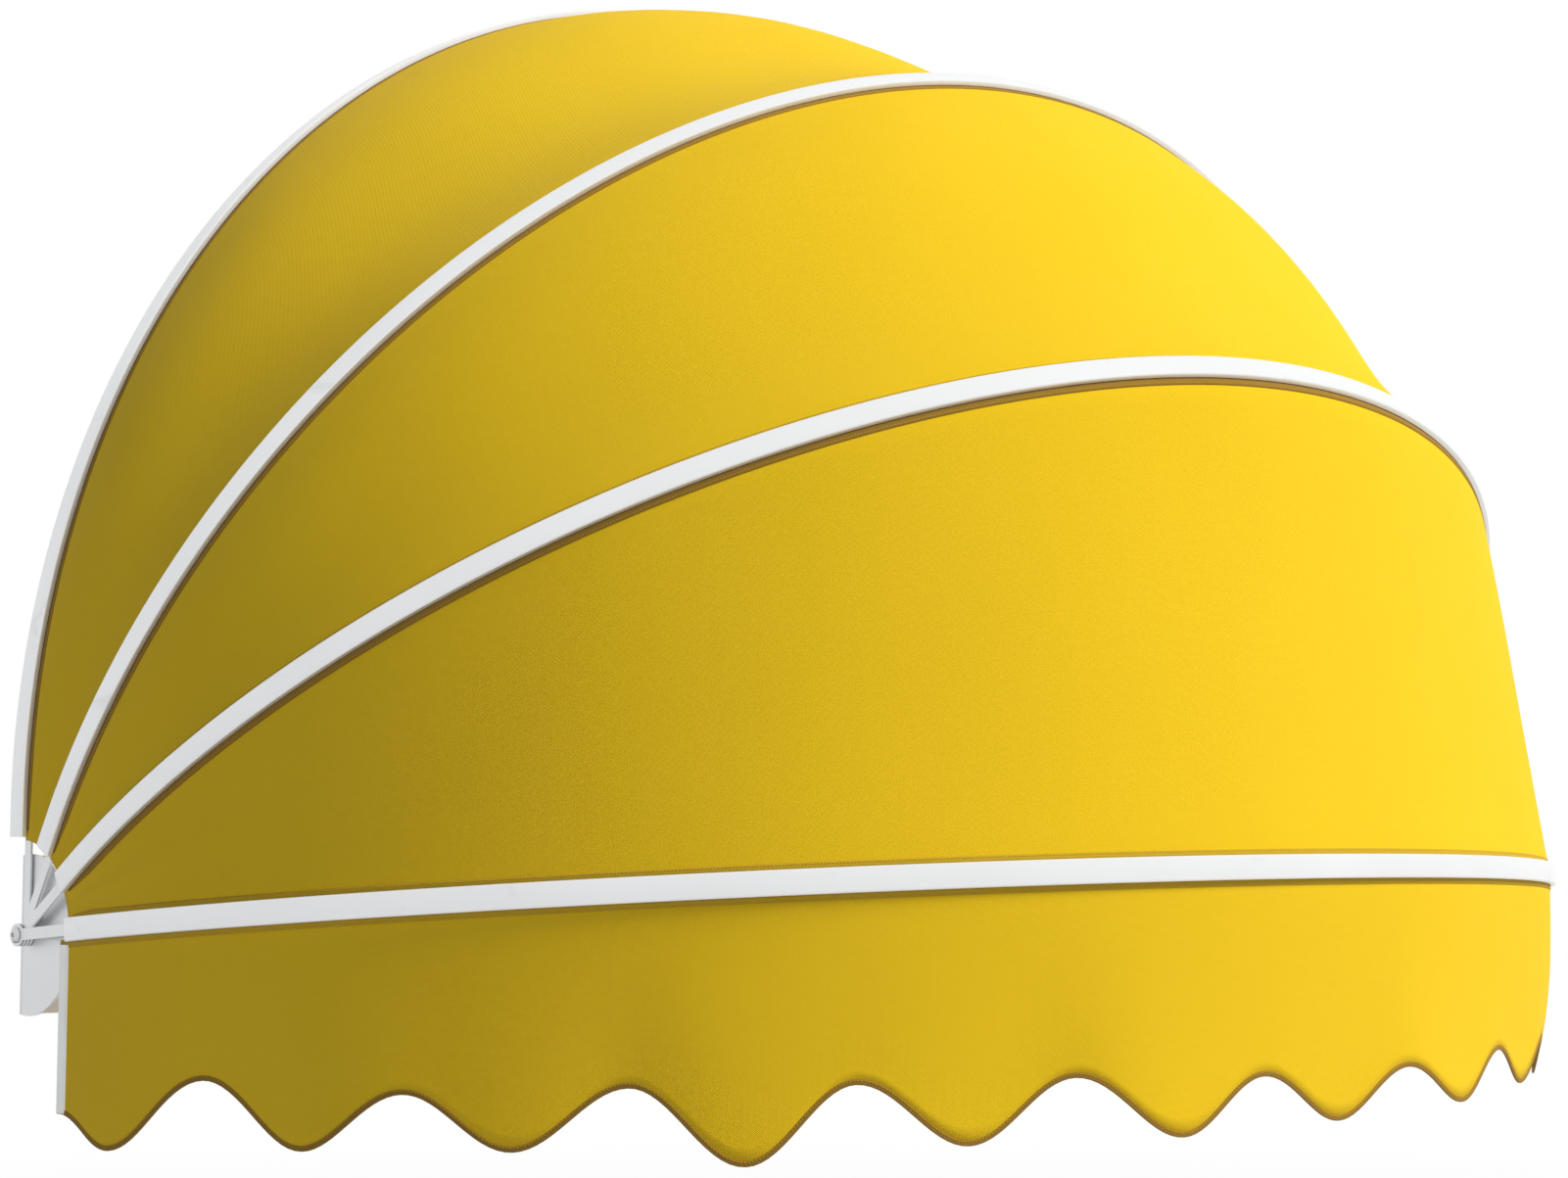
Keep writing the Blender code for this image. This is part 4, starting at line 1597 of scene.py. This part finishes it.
@dataclass
class Valance:
    """Scalloped cloth under the front bow, with its bound edge and end tapes."""

    plan: HoopPlan = FRONT
    start: float = 0.084
    end_drop: float = 0.186
    half_steps: int = 15
    levels: int = 14
    tape_levels: int = 24
    hem_allowance: float = 0.004
    wave: float = 0.003
    calm_end: float = 0.12
    curl: float = 0.024
    curl_place: float = 2.19
    curl_reach: float = 0.13
    binding_width: float = 0.0055
    binding_thickness: float = 0.0026
    binding_corner: float = 0.0009
    binding_seam: float = 0.0022
    tape_width: float = 0.017
    tape_thickness: float = 0.0034
    tape_corner: float = 0.0012
    tape_seam: float = 0.0034
    tape_play: float = 0.0006
    thread_rise: float = 0.0001

    def columns(self) -> list[tuple[float, float]]:
        """Runs along the valance with the drop of its lower edge at each.

        Returns:
            Pairs of run and drop.
        """
        end = (HOOD.cloth_length(self.start), self.end_drop)
        turns = [(0.0, self.end_drop), *SCALLOP_TURNS, end]
        columns = []
        for (run, drop), (next_run, next_drop) in zip(turns, turns[1:]):
            for share in (step / self.half_steps for step in range(self.half_steps)):
                eased = (1 - math.cos(math.pi * share)) / 2
                columns.append((run + (next_run - run) * share, drop + (next_drop - drop) * eased))
        return [*columns, end]

    def outward(self, run: float) -> Vector:
        """Level direction out of the hood at a run."""
        _, _, out_x, out_reach = self.plan.cloth_line(self.start, run)
        return Vector((out_x, -out_reach, 0)).normalized()

    def on_bow(self, run: float, offset: float = 0.0) -> Vector:
        """Point on the groove's line at a run, off the bow's plane by a distance."""
        x, reach, _, _ = self.plan.cloth_line(self.start, run)
        return HOOD.place(self.plan.angle, x, reach, offset)

    def point(self, run: float, drop: float, share: float) -> Vector:
        """Point on the valance.

        Args:
            run: Run along it.
            drop: Drop of its edge below the bow's plane at that run.
            share: Share of the way down from the bow's lip.

        Returns:
            The point.
        """
        lip = self.on_bow(run, -HOOD.half_face - HOOD.cloth_lip)
        low = self.on_bow(run).z - drop
        ends = min(1.0, min(run, HOOD.cloth_length(self.start) - run) / self.calm_end)
        curl = self.curl * math.exp(-(((run - self.curl_place) / self.curl_reach) ** 2)) * share ** 3
        out = self.wave * ends * share ** 1.5 * waves(VALANCE_WAVES, run, share) - curl
        return Vector((lip.x, lip.y, lip.z + (low - lip.z) * share)) + self.outward(run) * out

    def build_cloth(self) -> None:
        """Make the hanging cloth."""
        rows = []
        for run, drop in self.columns():
            shares = (level / self.levels for level in range(self.levels + 1))
            rows.append([
                (self.on_bow(run, HOOD.cloth_hem - HOOD.half_face), (run, 0.0)),
                *((self.point(run, drop, share), (run, self.hem_allowance + drop * share)) for share in shares),
            ])
        sheet = grid_sheet("valance_cloth", rows)
        published(solidified(sheet, HOOD.cloth_thickness), CANVAS, self.plan.body, ["valance"])
        length = path_length([self.point(run, drop, 0.0) for run, drop in self.columns()])

    def edge_frames(self, inset: float) -> list[Matrix]:
        """Frames along the scalloped edge, X through the cloth and Y into it.

        Args:
            inset: How far inside the edge they lie.

        Returns:
            The frames.
        """
        columns = self.columns()
        points = [self.point(run, drop, 1.0) for run, drop in columns]
        frames = []
        for index, (run, _) in enumerate(columns):
            ahead = points[min(index + 1, len(points) - 1)] - points[max(index - 1, 0)]
            normal = self.outward(run)
            inward = normal.cross(ahead.normalized()).normalized()
            inward = inward if inward.z > 0 else -inward
            frames.append(frame_at(points[index] + inward * inset, normal, inward))
        return frames

    def build_edge(self) -> None:
        """Bind the scalloped edge and stitch the binding."""
        section = rounded_section(self.binding_thickness, self.binding_width, self.binding_corner)
        frames = self.edge_frames(self.binding_width / 2 - self.binding_corner)
        published(sweep("valance_edge_binding", frames, section), EDGE_BINDING_AND_PAINTED_SHADOW, self.plan.body)
        line = []
        for place in self.edge_frames(self.binding_width - self.binding_seam):
            out = place.to_3x3() @ Vector((1, 0, 0))
            line.append((place.translation + out * (self.binding_thickness / 2 + self.thread_rise), out))
        stitches("valance_edge_stitches", line[3:-3], THREAD, self.plan.body)

    def build_tapes(self) -> None:
        """Fold a tape over each upright end of the cloth and stitch it."""
        section = rounded_section(self.tape_thickness, self.tape_width, self.tape_corner)
        ahead = Vector((0, -1, 0))
        for side in Side:
            run, drop = self.columns()[0 if side is Side.LEFT else -1]
            normal = self.outward(run)
            frames, line = [], []
            for share in (level / self.tape_levels for level in range(self.tape_levels + 1)):
                place = self.point(run, drop, share)
                place.z -= self.tape_play * (1 - share)
                frames.append(frame_at(place + ahead * (self.tape_width / 2 - self.tape_corner), normal, ahead))
                seam = ahead * (self.tape_width - self.tape_seam) + normal * (self.tape_thickness / 2)
                line.append((place + seam, normal))
            name = "valance_tape_" + side.label
            published(sweep(name, frames, section), END_TAPE, self.plan.body, ["valance_binding_" + side.label])
            stitches(name + "_stitches", line, TAPE_THREAD, self.plan.body)

    def build_top_hem(self) -> None:
        """Make the folded hem along the bow's lip, with its stitches."""
        hem = VALANCE_HEM
        rows, line = [], []
        for run, drop in self.columns():
            row = [(self.on_bow(run, hem.tuck - HOOD.half_face), (run, 0.0))]
            row += [(self.point(run, drop, along / drop), (run, along)) for along in hem.shares(hem.width)]
            rows.append(row)
            out = self.outward(run)
            line.append((self.point(run, drop, hem.width * hem.seam / drop) + out * hem.stitch_rise, out))
        hem.build("valance_top_hem", rows, line, self.plan.body)

    def build(self) -> None:
        """Build the valance."""
        self.build_cloth()
        self.build_edge()
        self.build_tapes()
        self.build_top_hem()


@dataclass
class HingeSide:
    """Wall bracket, pivot bolt, nut and washers of one side."""

    side: Side
    cheek_radius: float = 0.085
    flange_width: float = 0.045
    hole_radius: float = 0.0035
    hole_inset: float = 0.018
    drill_length: float = 0.02
    bracket_edge: float = 0.0008
    head_radius: float = 0.0085
    head_height: float = 0.0045
    head_rim: float = 0.18
    socket_radius: float = 0.0026
    socket_mouth: float = 0.0030
    thread_steps: int = 20
    thread_root: float = 0.88
    thread_end: float = 0.0006
    tip_share: float = 0.8
    socket_levels: tuple[float, float, float] = (0.45, 0.88, 0.93)
    nut_radius: float = 0.0075
    nut_height: float = 0.0070
    nut_flat: float = 0.86
    nut_chamfer: float = 0.0012
    bore_chamfer: float = 0.0005
    washer_radius: float = 0.0095
    washer_edge: float = 0.00015

    def build_bracket(self) -> None:
        """Make the bent plate that carries the pivot."""
        name = "wall_bracket_" + self.side.label
        lean = math.degrees(math.asin(HOOD.hinge_out / self.cheek_radius))
        cheek = arc((0, 0), self.cheek_radius, 90 - lean, 270 + lean, 72)
        low, high = spread(self.side, HINGE.cheek_inner, HINGE.bracket_thickness)
        plain = plate(name + "_plate", [cheek, circle((0, 0), HINGE.bore)], low, high)
        plain.data.transform(Matrix.Translation(HOOD.axis))
        half = self.cheek_radius * math.cos(math.radians(lean))
        outer = self.side.value * HINGE.cheek_outer
        inner = self.side.value * (HINGE.cheek_outer - self.flange_width)
        corner_low = Vector((min(outer, inner), -HINGE.bracket_thickness, HOOD.axis.z - half))
        corner_high = Vector((max(outer, inner), 0.0, HOOD.axis.z + half))
        joined = shaped(plain, [box(name + "_flange", corner_low, corner_high)], "UNION")
        drills = []
        for level in (-1, 1):
            height = HOOD.axis.z + level * (half - self.hole_inset)
            centre = Vector((inner + self.side.value * self.hole_inset, 0.0, height))
            drills.append(rod(name + "_drill", centre, Vector((0, 1, 0)), self.hole_radius, self.drill_length))
        published(bevelled(shaped(joined, drills), self.bracket_edge, 3), BRACKET_COAT, Body.WALL, [name])

    def publish_turned(self, node: str, form: str, profile: Profile, finish: Finish) -> None:
        """Make a turned piece on the pivot's axis, pointing outwards, in place of a node.

        Args:
            node: Node of the frame.
            form: What is added to it in the piece's name.
            profile: Its profile.
            finish: Its surface.
        """
        name = f"{node}_{form}"
        mesh = turned(name, profile)
        turn = Matrix.Rotation(math.radians(90 * self.side.value), 4, "Y")
        mesh.transform(Matrix.Translation(HOOD.axis) @ turn)
        published(new_object(name, mesh), finish, Body.WALL, [node])

    def build_bolt(self) -> None:
        """Make the pivot bolt with its domed head and six-sided socket."""
        seat = HINGE.base + HINGE.height + HOOD.gap
        radius, height, pivot = self.head_radius, self.head_height, HINGE.pivot_radius
        dome = [(reach, seat + rise) for reach, rise in domed(radius, height, self.head_rim, range(65, -1, -13))]
        floor, wall, mouth = (seat + height * level for level in self.socket_levels)
        socket = [
            (0.0, floor), (self.socket_radius, floor, HEXAGON), (self.socket_radius, wall, HEXAGON),
            (self.socket_mouth, mouth),
        ]
        tip = HINGE.cheek_inner - HOOD.gap - self.nut_height - pivot / 2
        threaded = HINGE.cheek_inner - tip - self.thread_end
        thread = [
            (pivot * (self.thread_root if step % 2 else 1.0), HINGE.cheek_inner - threaded * step / self.thread_steps)
            for step in range(self.thread_steps)
        ]
        shank = [(radius, seat), (pivot, seat), *thread, (pivot * self.tip_share, tip), (0.0, tip)]
        self.publish_turned("pivot_bolt_" + self.side.label, "turned", [*socket, *dome, *shank], FASTENER_STEEL)

    def build_nut(self) -> None:
        """Make the six-sided nut with its chamfers."""
        high = HINGE.cheek_inner - HOOD.gap
        low = high - self.nut_height
        bore, corner, flat = HINGE.bore, self.nut_radius, self.nut_radius * self.nut_flat
        profile = [
            (bore, high), (flat, high), (corner, high - self.nut_chamfer, HEXAGON),
            (corner, low + self.nut_chamfer, HEXAGON), (flat, low), (bore + self.bore_chamfer, low),
            (bore, low + self.bore_chamfer),
        ]
        self.publish_turned("pivot_nut_" + self.side.label, "hexagon", profile, FASTENER_STEEL)

    def build_washers(self) -> None:
        """Make the washers between the links."""
        bore, rim, edge = HINGE.bore, self.washer_radius, self.washer_edge
        for plan in HOOPS:
            high = HINGE.link_inner(plan.layer) - HOOD.gap
            low = high - HINGE.washer_thickness
            profile = [
                (bore, high), (rim - edge, high), (rim, high - edge), (rim, low + edge), (rim - edge, low), (bore, low)
            ]
            self.publish_turned(f"hinge_washer_{plan.layer + 1}_{self.side.label}", "disc", profile, NYLON)

    def build(self) -> None:
        """Build the hinge."""
        self.build_bracket()
        self.build_bolt()
        self.build_nut()
        self.build_washers()


@dataclass
class WallClips:
    """Small angles that hold the rear bow on the wall, with their screws."""

    turns: tuple[tuple[str, float], ...] = (("left", -50.0), ("top", 0.0), ("right", 50.0))
    thickness: float = 0.003
    width: float = 0.034
    flange: float = 0.034
    bend: float = 0.0012
    edge: float = 0.0005
    hole_radius: float = 0.0030
    bend_steps: int = 32
    section_chamfer: float = 0.0015
    screw_past: float = 0.001
    drill_length: float = 0.02
    screw_drill_length: float = 0.01

    def frame_of(self, turn: float) -> Matrix:
        """Frame of the rear bow at a turn from its crown, Z out, with the bow's face at its radius.

        Args:
            turn: The turn in degrees.

        Returns:
            The frame.
        """
        across, up = math.sin(math.radians(turn)), math.cos(math.radians(turn))
        reach = HOOD.radius + REAR.stretch
        face = HOOD.axis + Vector((HOOD.radius * across, 0, HOOD.leg + reach * up))
        lean = math.atan2(reach * across, HOOD.radius * up)
        return Matrix.Translation(face) @ Matrix.Rotation(lean, 4, "Y") @ Matrix.Translation((0, 0, -HOOD.radius))

    def outline(self, top: float, rim: float) -> Outline:
        """Bent section of a clip.

        Args:
            top: Height of the shelf's upper face.
            rim: Height of the upright's upper end.

        Returns:
            Closed outline of (y, z).
        """
        back, front, low = HOOD.hinge_out, self.section_chamfer - HOOD.half_face, top - self.thickness
        face, bend = back - self.thickness, self.bend
        return [
            (back, low - self.flange), (back, rim), (face, rim),
            *arc((face - bend, top + bend), bend, 0, -90, 4), (front, top), (front, low),
            *arc((face - bend, low - bend), bend, 90, 0, 4), (face, low - self.flange),
        ]

    def build(self) -> None:
        """Build the clips and screw them to the rear bow."""
        facet = math.cos(math.pi / self.bend_steps / 2)
        top = HOOD.inner_radius * facet - HOOD.gap - self.width ** 2 / (8 * HOOD.inner_radius)
        low = top - self.thickness
        rim = HOOD.radius - self.section_chamfer - HOOD.gap
        out = Vector((0, 0, 1))
        points, nodes = [], []
        for label, turn in self.turns:
            node = "wall_clip_" + label
            place = self.frame_of(turn)
            wall_hole = Vector((0, HOOD.hinge_out, low - self.flange / 2))
            clip = shaped(plate(node + "_angle", [self.outline(top, rim)], -self.width / 2, self.width / 2), [
                rod(node + "_drill", wall_hole, Vector((0, 1, 0)), self.hole_radius, self.drill_length),
                rod(node + "_drill", out * low, out, SCREW_HOLE, self.screw_drill_length),
            ])
            clip.data.transform(place)
            published(bevelled(clip, self.edge), BRACKET_COAT, Body.WALL, [node])
            points.append((place @ (out * (low - HOOD.gap)), place.to_3x3() @ out))
            nodes.append("clip_screw_" + label)
        length = HOOD.inner_radius + HOOD.wall + self.screw_past - low + HOOD.gap
        PanScrew().set_of("clip_screws", points, length, Body.WALL, nodes)


@dataclass
class Studio:
    """Floor, light and camera."""

    camera_place: tuple[float, float, float] = (-2.598, -2.8368, -1.094)
    camera_yaw: float = 44.003
    camera_pitch: float = 5.319
    lens: float = 68.15
    sensor: float = 36.0
    floor_level: float = -2.35
    floor_radius: float = 11.0
    floor_fade: float = 3.0
    floor_shade: tuple[float, float, float, float] = (0.86, 0.86, 0.87, 1.0)
    floor_bounce: tuple[float, float, float, float] = (0.53, 0.53, 0.54, 1.0)
    ambient: tuple[float, float, float, float] = (0.88, 0.96, 0.97, 1.0)
    ambient_strength: float = 0.29
    key_strength: float = 3.85
    key_spread: float = 24.0
    key_colour: tuple[float, float, float] = (1.0, 0.985, 0.96)
    key_turn: tuple[float, float, float] = (0.43, -0.65, 0.64)

    def build_camera(self) -> None:
        """Stand the camera at the photograph's viewing angle."""
        data = bpy.data.cameras.new("camera")
        data.lens = self.lens
        data.sensor_width = self.sensor
        camera = new_object("camera", data)
        camera.location = self.camera_place
        camera.rotation_euler = (math.radians(90 + self.camera_pitch), 0, math.radians(-self.camera_yaw))
        bpy.context.scene.camera = camera

    def in_view(self, graph: Graph) -> NodeSocket:
        """1 for rays from the camera, off gloss or through glass, and 0 for the light itself.

        Args:
            graph: Graph of the floor or the world.

        Returns:
            The number.
        """
        path = graph.add("ShaderNodeLightPath").node.outputs
        seen = graph.math("MAXIMUM", path["Is Camera Ray"], path["Is Glossy Ray"])
        return graph.math("MAXIMUM", seen, path["Is Transmission Ray"])

    def build_world(self) -> None:
        """White to the camera, soft pale light to the object."""
        world = bpy.data.worlds.new("studio")
        world.use_nodes = True
        world.node_tree.nodes.clear()
        graph = Graph(world.node_tree)
        soft = graph.add("ShaderNodeBackground", {"Color": self.ambient, "Strength": self.ambient_strength})
        white = graph.add("ShaderNodeBackground", {"Color": WHITE, "Strength": 1.0})
        both = graph.add("ShaderNodeMixShader", {0: self.in_view(graph), 1: soft, 2: white})
        graph.fill(graph.tree.nodes.new("ShaderNodeOutputWorld"), {"Surface": both})
        bpy.context.scene.world = world

    def build_light(self) -> None:
        """One broad soft key light from the front right, which gloss doesn't mirror."""
        data = bpy.data.lights.new("key", "SUN")
        data.energy = self.key_strength
        data.angle = math.radians(self.key_spread)
        data.color = self.key_colour
        lamp = new_object("key", data)
        lamp.rotation_euler = Vector(self.key_turn).to_track_quat("Z", "Y").to_euler()
        lamp.visible_glossy = False

    def build_floor(self) -> None:
        """Lay a round pale floor that fades to white at its rim."""
        bm = bmesh.new()
        bmesh.ops.create_circle(bm, cap_ends=True, segments=96, radius=self.floor_radius)
        bmesh.ops.translate(bm, verts=bm.verts, vec=(0, 0, self.floor_level))
        floor = new_object("floor", mesh_from(bm, "floor", outward=False))
        material = bpy.data.materials.new("pale_floor")
        material.use_nodes = True
        nodes = material.node_tree.nodes
        graph = Graph(material.node_tree)
        seen = self.in_view(graph)
        shader = nodes["Principled BSDF"]
        tint = graph.mix(seen, self.floor_bounce, self.floor_shade)
        graph.fill(shader, {"Base Color": tint, "Roughness": 0.9, "Specular IOR Level": 0.0})
        flat = graph.vector("MULTIPLY", {0: graph.place(), 1: (1.0, 1.0, 0.0)})
        reach = graph.vector("LENGTH", {0: flat}, "Value")
        fade = graph.math("MULTIPLY", graph.remap(reach, self.floor_fade, self.floor_radius - 1.0), seen)
        white = graph.add("ShaderNodeEmission", {"Color": WHITE, "Strength": 1.0})
        both = graph.add("ShaderNodeMixShader", {0: fade, 1: shader.outputs[0], 2: white})
        graph.fill(nodes["Material Output"], {"Surface": both})
        floor.data.materials.append(material)

    def build(self) -> None:
        """Build the studio."""
        self.build_camera()
        self.build_world()
        self.build_light()
        self.build_floor()
        bpy.context.scene.view_settings.view_transform = "Standard"


def main() -> None:
    """Build the awning and its studio."""
    logging.basicConfig(level=logging.INFO, format="%(message)s")
    Studio().build()
    for plan in HOOPS:
        Hoop(plan).build()
    for side in Side:
        HingeSide(side).build()
    WallClips().build()
    HoodPanel("rear", REAR, UPPER, bulge=0.008, sway=0.0165).build()
    HoodPanel("middle", UPPER, MIDDLE, bulge=0.003, sway=0.0115).build()
    HoodPanel("front", MIDDLE, FRONT, bulge=0.001, sway=0.001).build()
    Valance().build()


if __name__ == "__main__":
    main()
